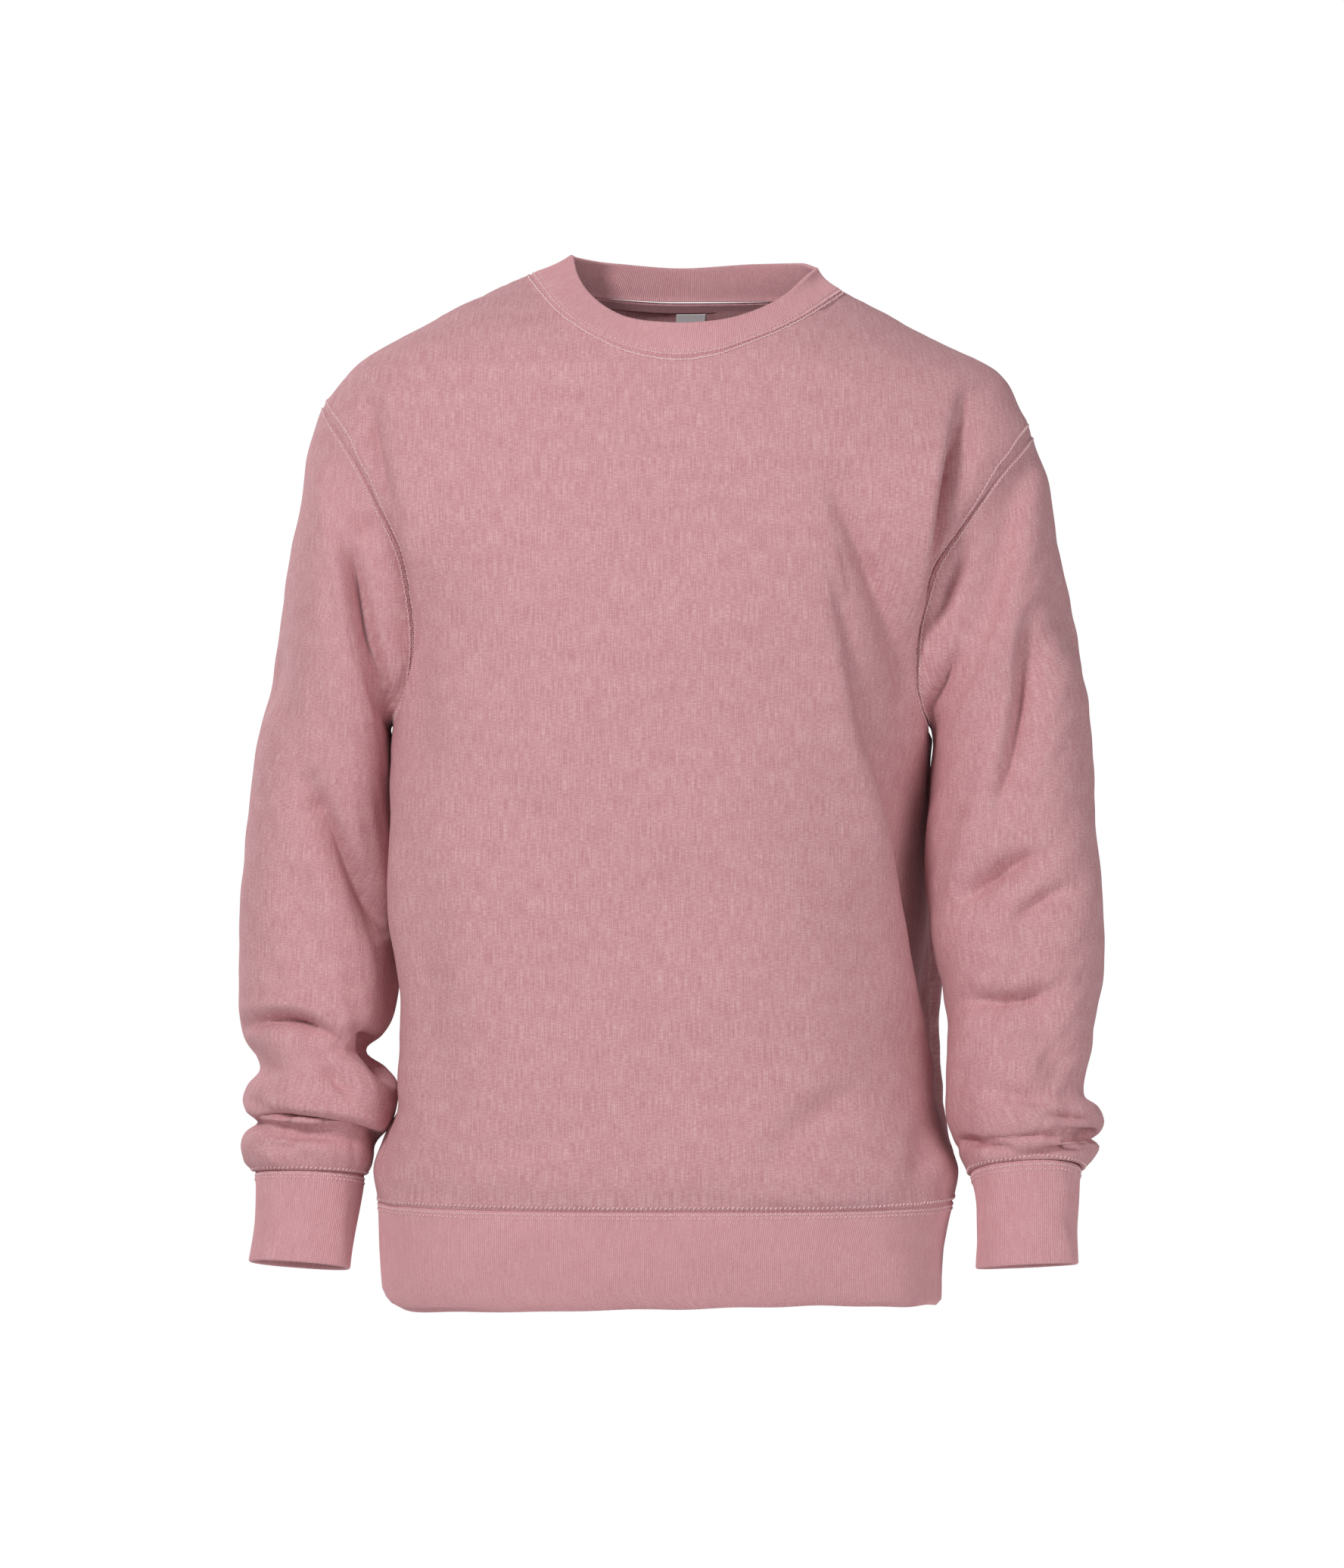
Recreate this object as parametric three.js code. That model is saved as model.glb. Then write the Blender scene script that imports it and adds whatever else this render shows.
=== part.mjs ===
// A crewneck sweatshirt of brushed fleece, size medium, filled out as it is when worn, with its arms hanging.
// Millimetres. +Z is up, the front faces -Y, and the wearer's left arm is at +X.
// The origin is between the shoulders, at the height where the neck seam crosses the right shoulder.
// Every piece is a wall of cloth: a grid of points on its outer face, and the same grid moved in by its thickness.

import * as THREE from "three";

// Driving sizes
const FLEECE = 2.0; // body and sleeve cloth
const RIB = 2.6; // rib knit, folded double
const TAPE = 0.9; // twill tape over the back neck seam
const LABEL = 0.5; // woven label
const SEAM_GAP = 0.3; // between two pieces at their seam
const ARMPIT_Z = -300;
const HEM_SEAM_Z = -616;
const DIP = 42; // of a panel's rows between the armpits
const NECK_FAN = 60; // how far a panel's columns spread from the neck's corners
const TAPE_WIDTH = 9;
const LABEL_WIDTH = 21;
const LABEL_LENGTH = 26;
const LABEL_ASIDE = 8; // towards the wearer's left

// Grid sizes: segments along each edge. Pieces that meet at a seam share its points.
const SHOULDER_STEPS = 6;
const NECK_FRONT_STEPS = 16;
const NECK_BACK_STEPS = 14;
const SIDE_STEPS = 13; // hem seam to armpit
const ARMHOLE_STEPS = 13; // armpit to shoulder point, on the front and on the back
const CUFF_STEPS = 3;
const COLLAR_STEPS = 4;

const PINK = 0xc98a92;
const PINK_RIB = 0xc58890;
const PINK_TAPE = 0xcf979c;
const WHITE = 0xe9e9ea;

// The form that the body cloth follows, as level sections from the hem seam to the neck.
// right and left are the wearer's, at -X and +X here. sideR and sideL are the y of the widest points, seamR and
// seamL the y of the side seams, and square the exponent of the front half of the outline: 2 is an ellipse, and
// more is boxier.
const BODY = [
  { z: -616, right: -196.5, left: 186, front: -115, back: 108, sideR: -8, sideL: -6, seamR: -62, seamL: 0, square: 2.5 },
  { z: -598, right: -199, left: 189.5, front: -121, back: 114, sideR: -10, sideL: 2, seamR: -50, seamL: 4, square: 2.5 },
  { z: -575, right: -191, left: 182, front: -123, back: 116, sideR: -16, sideL: 18, seamR: -36, seamL: 14, square: 2.5 },
  { z: -550, right: -180.5, left: 176.5, front: -121, back: 114, sideR: -26, sideL: 36, seamR: -22, seamL: 30, square: 2.45 },
  { z: -500, right: -181, left: 174.5, front: -118, back: 111, sideR: -34, sideL: 58, seamR: -8, seamL: 48, square: 2.4 },
  { z: -430, right: -184, left: 173.5, front: -117, back: 110, sideR: -36, sideL: 62, seamR: 0, seamL: 52, square: 2.4 },
  { z: -350, right: -185.5, left: 171, front: -120, back: 113, sideR: -22, sideL: 44, seamR: 0, seamL: 22, square: 2.4 },
  { z: -300, right: -186, left: 170.5, front: -121, back: 117, sideR: -6, sideL: 9, seamR: 0, seamL: 0, square: 2.4 },
  { z: -245, right: -185, left: 174, front: -121, back: 119, sideR: 0, sideL: 0, seamR: 0, seamL: 0, square: 2.5 },
  { z: -208, right: -196, left: 189, front: -120, back: 120, sideR: 0, sideL: 0, seamR: 0, seamL: 0, square: 2.4 },
  { z: -167, right: -215, left: 217, front: -115, back: 119, sideR: 0, sideL: 0, seamR: 0, seamL: 0, square: 2.35 },
  { z: -137, right: -231, left: 236, front: -109, back: 116, sideR: 0, sideL: 0, seamR: 0, seamL: 0, square: 2.25 },
  { z: -118, right: -239, left: 241, front: -104, back: 112, sideR: 0, sideL: 0, seamR: 0, seamL: 0, square: 2.2 },
  { z: -107, right: -238.5, left: 239, front: -101, back: 110, sideR: 0, sideL: 0, seamR: 0, seamL: 0, square: 2.15 },
  { z: -87.5, right: -233.4, left: 230, front: -95, back: 105, sideR: 0, sideL: 0, seamR: 0, seamL: 0, square: 2.1 },
  { z: -77.5, right: -226, left: 224.5, front: -92, back: 102, sideR: 0, sideL: 0, seamR: 0, seamL: 0, square: 2.1 },
  { z: -67, right: -218, left: 215, front: -89, back: 99, sideR: 0, sideL: 0, seamR: 0, seamL: 0, square: 2.05 },
  { z: -57, right: -206, left: 199, front: -85, back: 95, sideR: 0, sideL: 0, seamR: 0, seamL: 0, square: 2 },
  { z: -47, right: -188, left: 178, front: -79, back: 91, sideR: 0, sideL: 0, seamR: 0, seamL: 0, square: 2 },
  { z: -37, right: -167, left: 157, front: -72, back: 85, sideR: 0, sideL: 0, seamR: 0, seamL: 0, square: 2 },
  { z: -27, right: -149, left: 140, front: -63, back: 78, sideR: 0, sideL: 0, seamR: 0, seamL: 0, square: 2 },
  { z: -17, right: -130, left: 122.5, front: -52, back: 69, sideR: 0, sideL: 0, seamR: 0, seamL: 0, square: 2 },
  { z: -7, right: -112, left: 105, front: -38, back: 57, sideR: 0, sideL: 0, seamR: 0, seamL: 0, square: 2 },
  { z: 0, right: -96, left: 93, front: -26, back: 45, sideR: 0, sideL: 0, seamR: 0, seamL: 0, square: 2 },
];
const BACK_SQUARE = 2.1;

// Armhole seams from the armpit (at 0) to the shoulder point (at 1): height, and x on the front and on the back.
const ARMHOLE_RIGHT = [
  { at: 0, z: ARMPIT_Z, front: -187, back: -187 },
  { at: 0.12, z: -285, front: -181, back: -179 },
  { at: 0.3, z: -245, front: -175, back: -180 },
  { at: 0.5, z: -197, front: -180, back: -188 },
  { at: 0.7, z: -150, front: -198, back: -206 },
  { at: 0.85, z: -118, front: -216, back: -222 },
  { at: 0.95, z: -97, front: -229, back: -231 },
  { at: 1, z: -87.5, front: -233.4, back: -233.4 },
];
const ARMHOLE_LEFT = [
  { at: 0, z: ARMPIT_Z, front: 170, back: 170 },
  { at: 0.12, z: -286, front: 165, back: 168 },
  { at: 0.3, z: -250, front: 164, back: 169 },
  { at: 0.5, z: -208, front: 172, back: 180 },
  { at: 0.7, z: -167, front: 194, back: 200 },
  { at: 0.85, z: -137, front: 215, back: 220 },
  { at: 0.95, z: -117, front: 232, back: 234 },
  { at: 1, z: -107, front: 239, back: 239 },
];

// The neck, by turn in degrees from the left shoulder round the back: the seam's x and z, and the rib's top edge.
const NECK = [
  { turn: 0, seamX: 113.7, seamZ: -12, topX: 96, topY: -4, topZ: 3.2 },
  { turn: 30, seamX: 99, seamZ: -12.6, topX: 86, topY: 30, topZ: 9 },
  { turn: 60, seamX: 58, seamZ: -13, topX: 53, topY: 54, topZ: 10.3 },
  { turn: 90, seamX: 5, seamZ: -13, topX: 6, topY: 62, topZ: 8.4 },
  { turn: 120, seamX: -46, seamZ: -10.4, topX: -37, topY: 55, topZ: 10.8 },
  { turn: 150, seamX: -82, seamZ: -5.5, topX: -60, topY: 28, topZ: 12 },
  { turn: 180, seamX: -96, seamZ: 0, topX: -68.5, topY: -4, topZ: 12 },
  { turn: 205, seamX: -88, seamZ: -13, topX: -65, topY: -27, topZ: -2 },
  { turn: 225, seamX: -75, seamZ: -29, topX: -57, topY: -46, topZ: -16 },
  { turn: 250, seamX: -44, seamZ: -50.2, topX: -34, topY: -67, topZ: -33.6 },
  { turn: 260, seamX: -20.5, seamZ: -58.6, topX: -15, topY: -75, topZ: -38.3 },
  { turn: 270, seamX: 3, seamZ: -61.6, topX: 6, topY: -78, topZ: -39.6 },
  { turn: 280, seamX: 25, seamZ: -58.8, topX: 26, topY: -76, topZ: -38.1 },
  { turn: 290, seamX: 46, seamZ: -51.8, topX: 44, topY: -70, topZ: -34 },
  { turn: 315, seamX: 79, seamZ: -37, topX: 73, topY: -53, topZ: -19.8 },
  { turn: 337, seamX: 101, seamZ: -22, topX: 88, topY: -31, topZ: -5.6 },
  { turn: 360, seamX: 113.7, seamZ: -12, topX: 96, topY: -4, topZ: 3.2 },
];
const NECK_CENTRE_X = 4;

// Sleeve sections after the armhole. Each is an oval from its outer point to its inner point, around mid in y,
// reaching front and back from there. lift raises its front, as on an arm held a little forward.
// steps is the number of grid rows up to this section.
const SLEEVE_RIGHT = [
  { outX: -241, outZ: -113, inX: -189, inZ: -304, mid: 1, front: 69, back: 67, lift: 0, steps: 2 },
  { outX: -250.5, outZ: -161, inX: -187.5, inZ: -313, mid: 4, front: 71, back: 69, lift: 0, steps: 2 },
  { outX: -258.5, outZ: -213.5, inX: -186.5, inZ: -328, mid: 8, front: 70, back: 68, lift: 0, steps: 2 },
  { outX: -269, outZ: -271, inX: -184.5, inZ: -348, mid: 12, front: 66, back: 65, lift: 0, steps: 2 },
  { outX: -280, outZ: -324, inX: -183.5, inZ: -369, mid: 14, front: 62, back: 62, lift: 0, steps: 2 },
  { outX: -286, outZ: -375, inX: -183, inZ: -394, mid: 14, front: 60, back: 60, lift: 0, steps: 2 },
  { outX: -288, outZ: -420, inX: -183, inZ: -426.5, mid: 11, front: 58, back: 58, lift: 1, steps: 2 },
  { outX: -288, outZ: -458, inX: -183.5, inZ: -461, mid: 6, front: 56, back: 57, lift: 2, steps: 1 },
  { outX: -288, outZ: -489, inX: -186, inZ: -493, mid: 1, front: 55, back: 56, lift: 3, steps: 1 },
  { outX: -285, outZ: -508, inX: -194, inZ: -508, mid: -2, front: 52, back: 54, lift: 3, steps: 1 },
  { outX: -277.5, outZ: -521, inX: -203, inZ: -517, mid: -4, front: 49, back: 50, lift: 3, steps: 1 },
  { outX: -275.5, outZ: -529.5, inX: -190.5, inZ: -527.5, mid: -5, front: 50, back: 50, lift: 2, steps: 1 },
  { outX: -283.5, outZ: -539.5, inX: -183, inZ: -538.5, mid: -6, front: 53, back: 54, lift: 1, steps: 1 },
  { outX: -287, outZ: -550.5, inX: -184, inZ: -554.5, mid: -8, front: 54, back: 54, lift: -1, steps: 1 },
  { outX: -282.5, outZ: -559, inX: -189, inZ: -567.5, mid: -9, front: 51, back: 50, lift: -2, steps: 1 },
  { outX: -276, outZ: -564.5, inX: -196.5, inZ: -575.5, mid: -10, front: 43, back: 43, lift: 2, steps: 1 },
  { outX: -283, outZ: -571.5, inX: -199, inZ: -580.5, mid: -11, front: 45, back: 46, lift: 3, steps: 1 },
  { outX: -285, outZ: -579, inX: -199.5, inZ: -586, mid: -12, front: 45, back: 46, lift: 4, steps: 1 },
  { outX: -282, outZ: -590, inX: -201.5, inZ: -593, mid: -13, front: 41, back: 42, lift: 5, steps: 1 },
  { outX: -278, outZ: -598, inX: -204.5, inZ: -600, mid: -14, front: 36, back: 36, lift: 5, steps: 1 },
];
const SLEEVE_LEFT = [
  { outX: 246, outZ: -131, inX: 172.5, inZ: -304, mid: 1, front: 69, back: 67, lift: 0, steps: 2 },
  { outX: 255, outZ: -176, inX: 173.5, inZ: -313, mid: 3, front: 71, back: 69, lift: 0, steps: 2 },
  { outX: 265.5, outZ: -223, inX: 172.5, inZ: -327, mid: 6, front: 69, back: 69, lift: 0, steps: 2 },
  { outX: 273, outZ: -269, inX: 171.5, inZ: -344, mid: 1, front: 66, back: 66, lift: 0, steps: 2 },
  { outX: 278, outZ: -315, inX: 170, inZ: -364, mid: -3, front: 62, back: 63, lift: 2, steps: 2 },
  { outX: 280.5, outZ: -360, inX: 168, inZ: -388, mid: -8, front: 59, back: 60, lift: 4, steps: 2 },
  { outX: 283, outZ: -402, inX: 168.5, inZ: -415.5, mid: -12, front: 57, back: 58, lift: 6, steps: 2 },
  { outX: 284, outZ: -439.5, inX: 170, inZ: -446.5, mid: -16, front: 56, back: 57, lift: 8, steps: 1 },
  { outX: 283, outZ: -470.5, inX: 177, inZ: -473.5, mid: -20, front: 54, back: 56, lift: 9, steps: 1 },
  { outX: 279.5, outZ: -500, inX: 180, inZ: -501, mid: -24, front: 52, back: 54, lift: 9, steps: 1 },
  { outX: 274, outZ: -524.5, inX: 180, inZ: -525.5, mid: -28, front: 50, back: 52, lift: 9, steps: 1 },
  { outX: 269.5, outZ: -540.5, inX: 180.5, inZ: -544.5, mid: -30, front: 48, back: 50, lift: 9, steps: 1 },
  { outX: 270.5, outZ: -548, inX: 181.5, inZ: -554, mid: -31, front: 49, back: 49, lift: 8, steps: 1 },
  { outX: 278.5, outZ: -554, inX: 182.5, inZ: -562, mid: -32, front: 50, back: 49, lift: 7, steps: 1 },
  { outX: 282.5, outZ: -562.5, inX: 184.5, inZ: -569, mid: -33, front: 49, back: 48, lift: 7, steps: 1 },
  { outX: 280, outZ: -569.5, inX: 186.5, inZ: -575, mid: -34, front: 46, back: 45, lift: 7, steps: 1 },
  { outX: 274.5, outZ: -573, inX: 188.5, inZ: -578.5, mid: -35, front: 41, back: 41, lift: 8, steps: 1 },
  { outX: 280.5, outZ: -578.5, inX: 188.5, inZ: -583.5, mid: -36, front: 43, back: 43, lift: 9, steps: 1 },
  { outX: 277.5, outZ: -586.5, inX: 190.5, inZ: -589.5, mid: -37, front: 41, back: 41, lift: 10, steps: 1 },
  { outX: 269, outZ: -594, inX: 195, inZ: -597, mid: -38, front: 36, back: 36, lift: 10, steps: 1 },
];

// Cuff sections, from the sleeve's last section to the folded edge.
const CUFF_RIGHT = [
  { outX: -277, outZ: -607, inX: -206.5, inZ: -610, mid: -15, front: 33.5, back: 33.5, lift: 6 },
  { outX: -277, outZ: -631.5, inX: -211, inZ: -634.5, mid: -18, front: 31.5, back: 31.5, lift: 6 },
  { outX: -281, outZ: -654.5, inX: -214, inZ: -659.5, mid: -21, front: 31.5, back: 31.5, lift: 5 },
];
const CUFF_LEFT = [
  { outX: 267.5, outZ: -602, inX: 198, inZ: -605, mid: -39, front: 33.5, back: 33.5, lift: 8 },
  { outX: 265.5, outZ: -628.5, inX: 200, inZ: -631.5, mid: -42, front: 31.5, back: 31.5, lift: 6 },
  { outX: 266.5, outZ: -654, inX: 199.5, inZ: -657, mid: -46, front: 31.5, back: 31.5, lift: 4 },
];

// The hem rib's section at shares of the way down from its seam.
const HEM = [
  { at: 0, right: -196.5, left: 186, front: -115, back: 108 },
  { at: 0.25, right: -195, left: 181.5, front: -113, back: 106 },
  { at: 0.55, right: -194.3, left: 178.5, front: -110, back: 104 },
  { at: 0.82, right: -193.5, left: 178.5, front: -105.5, back: 102 },
  { at: 0.95, right: -188, left: 178, front: -102, back: 100 },
  { at: 1, right: -181, left: 175, front: -100, back: 98 },
];
// How far the rib hangs below its seam, by turn in degrees from the wearer's left round the back.
const HEM_DROP = [
  { turn: 0, drop: 69 },
  { turn: 90, drop: 71 },
  { turn: 180, drop: 71 },
  { turn: 225, drop: 68 },
  { turn: 260, drop: 64.5 },
  { turn: 290, drop: 62 },
  { turn: 330, drop: 65 },
  { turn: 360, drop: 69 },
];

// Folds, as troughs (depth below zero is a ridge). Each runs from one point of the front view to another, and bow
// moves its middle: to the wearer's left on a fold that runs down, and up on one that runs to the left.
// near and far are how far it spreads to its two sides; far is the side that bow points to.
const FRONT_FOLDS = [
  { name: "left chest fold", x0: 198, z0: -84, x1: 166, z1: -236, bow: -5, near: 8, far: 18, depth: 15 },
  { name: "left chest ridge", x0: 184, z0: -100, x1: 152, z1: -262, bow: -4, near: 22, far: 8, depth: -8 },
  { name: "left diagonal", x0: 112, z0: -128, x1: 168, z1: -290, bow: 2, near: 22, far: 12, depth: 8 },
  { name: "left flank drop", x0: 116, z0: -226, x1: 176, z1: -500, bow: 4, near: 13, far: 38, depth: 12 },
  { name: "left flank ridge", x0: 106, z0: -236, x1: 172, z1: -545, bow: 8, near: 24, far: 9, depth: -7 },
  { name: "right edge ridge", x0: -190, z0: -110, x1: -182, z1: -285, bow: 0, near: 8, far: 22, depth: -8 },
  { name: "left hem tuck", x0: 170, z0: -545, x1: 158, z1: -616, bow: 0, near: 10, far: 12, depth: 6 },
];
const BACK_FOLDS = [
  { name: "left blade fold", x0: 188, z0: -120, x1: 150, z1: -300, bow: -5, near: 20, far: 14, depth: 7 },
  { name: "right blade fold", x0: -192, z0: -112, x1: -152, z1: -310, bow: 6, near: 14, far: 20, depth: 8 },
  { name: "right flank fold", x0: -120, z0: -330, x1: -168, z1: -560, bow: -10, near: 22, far: 22, depth: 7 },
  { name: "left flank fold", x0: 96, z0: -300, x1: 148, z1: -540, bow: 8, near: 20, far: 24, depth: 7 },
  { name: "small of the back", x0: -100, z0: -440, x1: 96, z1: -452, bow: 14, near: 26, far: 20, depth: 5 },
];
const SLEEVE_RIGHT_FRONT_FOLDS = [
  { name: "armpit pull", x0: -219, z0: -168, x1: -196, z1: -300, bow: 0, near: 10, far: 16, depth: 9 },
  { name: "elbow crease", x0: -240, z0: -345, x1: -188, z1: -445, bow: 3, near: 14, far: 9, depth: 9 },
  { name: "upper roll crease", x0: -289, z0: -499, x1: -226, z1: -512, bow: 11, near: 7, far: 6, depth: 5 },
  { name: "cuff roll crease", x0: -280, z0: -570, x1: -194, z1: -574, bow: 4, near: 5, far: 4, depth: 5 },
];
const SLEEVE_LEFT_FRONT_FOLDS = [
  { name: "shoulder trough", x0: 238, z0: -128, x1: 206, z1: -244, bow: -2, near: 15, far: 13, depth: 6 },
  { name: "upper arm crease", x0: 240, z0: -226, x1: 216, z1: -352, bow: 4, near: 10, far: 14, depth: 7 },
  { name: "armpit pull", x0: 200, z0: -200, x1: 182, z1: -300, bow: 0, near: 10, far: 10, depth: 5 },
  { name: "elbow crease", x0: 186, z0: -418, x1: 238, z1: -384, bow: 1, near: 12, far: 12, depth: 6 },
  { name: "forearm crease", x0: 190, z0: -482, x1: 262, z1: -472, bow: -7, near: 12, far: 9, depth: 6 },
  { name: "cuff roll crease", x0: 198, z0: -578, x1: 284, z1: -582, bow: -5, near: 5, far: 5, depth: 4 },
];
const SLEEVE_BACK_FOLDS = [
  { name: "back arm trough", x0: -222, z0: -190, x1: -252, z1: -330, bow: -6, near: 14, far: 14, depth: 6 },
  { name: "back elbow crease", x0: -280, z0: -352, x1: -200, z1: -386, bow: 8, near: 12, far: 10, depth: 8 },
  { name: "back forearm crease", x0: -198, z0: -446, x1: -278, z1: -430, bow: 6, near: 12, far: 12, depth: 6 },
  { name: "back roll crease", x0: -286, z0: -528, x1: -200, z1: -540, bow: -4, near: 7, far: 7, depth: 6 },
];
const EDGE_FADE = 2.2; // folds fade to nothing over this many grid steps from a seam

// A smooth curve through a table's column that doesn't overshoot its rows (Fritsch-Carlson).
function through(table, key, column) {
  const xs = table.map((row) => row[key]);
  const ys = table.map((row) => row[column]);
  const n = xs.length;
  const slopes = [];
  for (let i = 0; i < n - 1; i++) slopes.push((ys[i + 1] - ys[i]) / (xs[i + 1] - xs[i]));
  const tangents = ys.map((_, i) => {
    if (i === 0) return slopes[0];
    if (i === n - 1) return slopes[n - 2];
    const a = slopes[i - 1];
    const b = slopes[i];
    return a * b <= 0 ? 0 : (2 * a * b) / (a + b);
  });
  return (x) => {
    let i = 0;
    while (i < n - 2 && x > xs[i + 1]) i++;
    const h = xs[i + 1] - xs[i];
    const t = Math.min(1, Math.max(0, (x - xs[i]) / h));
    const t2 = t * t;
    const t3 = t2 * t;
    return (
      (2 * t3 - 3 * t2 + 1) * ys[i] +
      (t3 - 2 * t2 + t) * h * tangents[i] +
      (3 * t2 - 2 * t3) * ys[i + 1] +
      (t3 - t2) * h * tangents[i + 1]
    );
  };
}

function columns(table, key) {
  const names = Object.keys(table[0]).filter((name) => typeof table[0][name] === "number");
  const curves = Object.fromEntries(names.map((name) => [name, through(table, key, name)]));
  return (x) => Object.fromEntries(names.map((name) => [name, curves[name](x)]));
}

const lerp = THREE.MathUtils.lerp;
const clamp = THREE.MathUtils.clamp;
const smooth = (t) => t * t * (3 - 2 * t);
const power = (value, exponent) => Math.sign(value) * Math.abs(value) ** exponent;

const bodyAt = columns(BODY, "z");
const neckAt = columns(NECK, "turn");
const armholeAt = { right: columns(ARMHOLE_RIGHT, "at"), left: columns(ARMHOLE_LEFT, "at") };

// A section's outline in numbers: its centre, and for one side and one face its three reaches and its exponent.
function quarter(s, onRight, face) {
  const centre = (s.right + s.left) / 2;
  const side = onRight ? s.sideR : s.sideL;
  return {
    centre,
    side,
    half: (s.left - s.right) / 2,
    reach: s[face] - side,
    square: face === "front" ? s.square : BACK_SQUARE,
  };
}

// y of the body form at a point of the front view; face is "front" or "back".
function depthAt(x, z, face) {
  const s = bodyAt(z);
  const q = quarter(s, x < (s.right + s.left) / 2, face);
  const out = Math.min(1, Math.abs(x - q.centre) / q.half);
  return q.side + q.reach * (1 - out ** q.square) ** (1 / q.square);
}

// A point of a level section at a turn in degrees, counted from the wearer's left round the back.
function sectionPoint(s, z, turn) {
  const a = THREE.MathUtils.degToRad(turn);
  const q = quarter(s, Math.cos(a) < 0, Math.sin(a) > 0 ? "back" : "front");
  return new THREE.Vector3(
    q.centre + q.half * power(Math.cos(a), 2 / q.square),
    q.side + q.reach * Math.abs(Math.sin(a)) ** (2 / q.square),
    z,
  );
}

// How far round from its widest point, towards the back, a section's side seam lies.
function seamTurn(s, onRight) {
  const y = onRight ? s.seamR : s.seamL;
  const towardsBack = y > (onRight ? s.sideR : s.sideL);
  const q = quarter(s, onRight, towardsBack ? "back" : "front");
  const share = clamp((y - q.side) / q.reach, 0, 1);
  return THREE.MathUtils.radToDeg(Math.asin(share ** (q.square / 2))) * (towardsBack ? 1 : -1);
}

// The turn at u on a panel: u goes from -1 at the wearer's right to 1 at the left.
function turnAt(s, face, u) {
  const start = 180 - seamTurn(s, true);
  const end = (face === "front" ? 360 : 0) + seamTurn(s, false);
  return lerp(start, end, (u + 1) / 2);
}

function lowPoint(face, u, z) {
  const s = bodyAt(z);
  return sectionPoint(s, z, turnAt(s, face, u));
}

// The top edge of a panel: along the right shoulder, round the neck, and along the left shoulder.
function topPoint(face, column, neckSteps) {
  const last = 2 * SHOULDER_STEPS + neckSteps;
  const k = column - SHOULDER_STEPS;
  if (k >= 0 && k <= neckSteps) {
    const share = k / neckSteps;
    const at = neckAt(face === "front" ? 180 + 180 * share : 180 - 180 * share);
    return { x: at.seamX, z: at.seamZ };
  }
  const side = k < 0 ? "right" : "left";
  const share = k < 0 ? column / SHOULDER_STEPS : (last - column) / SHOULDER_STEPS;
  const tip = armholeAt[side](1);
  const neck = neckAt(side === "right" ? 180 : 0);
  const z = lerp(tip.z, neck.seamZ, share);
  return { x: bodyAt(z)[side], z };
}

// The turn at which a point of the front view lies on the form.
function turnOf(x, z, face) {
  const s = bodyAt(z);
  const onRight = x < (s.right + s.left) / 2;
  const q = quarter(s, onRight, face);
  const past = THREE.MathUtils.radToDeg(Math.acos(Math.min(1, Math.abs(x - q.centre) / q.half) ** (q.square / 2)));
  if (face === "front") return onRight ? 180 + past : 360 - past;
  return onRight ? 180 - past : past;
}

// One body panel's outer grid: rows from the hem seam up, columns from the wearer's right to the left.
// Its rows dip between the armpits, so that they meet the armholes squarely.
function panelGrid(face, neckSteps) {
  const last = 2 * SHOULDER_STEPS + neckSteps;
  const us = Array.from({ length: last + 1 }, (_, i) => (2 * i) / last - 1);
  const armpit = bodyAt(ARMPIT_Z);
  const corner = 1 - (2 * SHOULDER_STEPS) / last; // u where the shoulder seam meets the neck
  const rows = [];
  for (let j = 0; j <= SIDE_STEPS; j++) {
    const t = (j / SIDE_STEPS) ** 1.15;
    const edgeZ = lerp(HEM_SEAM_Z, ARMPIT_Z, t);
    const middleZ = lerp(HEM_SEAM_Z, ARMPIT_Z - DIP, t);
    rows.push(us.map((u) => lowPoint(face, u, lerp(middleZ, edgeZ, Math.abs(u) ** 7))));
  }
  for (let j = 1; j <= ARMHOLE_STEPS; j++) {
    const w = j / ARMHOLE_STEPS;
    const arms = { right: armholeAt.right(w), left: armholeAt.left(w) };
    const turns = [arms.right, arms.left].map((arm) => turnOf(arm[face], arm.z, face));
    const middle = lerp((armpit.right + armpit.left) / 2, NECK_CENTRE_X, w);
    rows.push(
      us.map((u, i) => {
        const side = u < 0 ? "right" : "left";
        const arm = arms[side];
        const tip = armholeAt[side](1);
        const top = topPoint(face, i, neckSteps);
        const overShoulder = clamp((Math.abs(u) - 0.3) / 0.3, 0, 1);
        const rise = 1 - (1 - w) ** lerp(1.25, 1.8, smooth(overShoulder));
        const atEdge = arm.z - lerp(ARMPIT_Z - DIP, tip.z, 1 - (1 - w) ** 1.8);
        const z = lerp(ARMPIT_Z - DIP, top.z, rise) + atEdge * Math.abs(u) ** 7;
        const byTurn = sectionPoint(bodyAt(z), z, lerp(turns[0], turns[1], (u + 1) / 2)).x;
        const byShare = middle + ((arm[face] - middle) * (top.x - NECK_CENTRE_X)) / (tip[face] - NECK_CENTRE_X);
        const fan = NECK_FAN * (1 - w) * w ** 4 * Math.exp(-(((Math.abs(u) - corner) / 0.24) ** 2));
        const spread = lerp(byTurn, byShare, smooth(Math.min(1, 1.5 * w))) + Math.sign(u) * fan;
        const form = bodyAt(z);
        const within = w > 0.5 && w < 1 && Math.abs(u) < 1 ? 0.985 : 1;
        const centre = (form.right + form.left) / 2;
        const half = ((form.left - form.right) / 2) * within;
        const x = clamp(spread, centre - half, centre + half);
        return new THREE.Vector3(x, depthAt(x, z, face), z);
      }),
    );
  }
  return rows;
}

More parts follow.
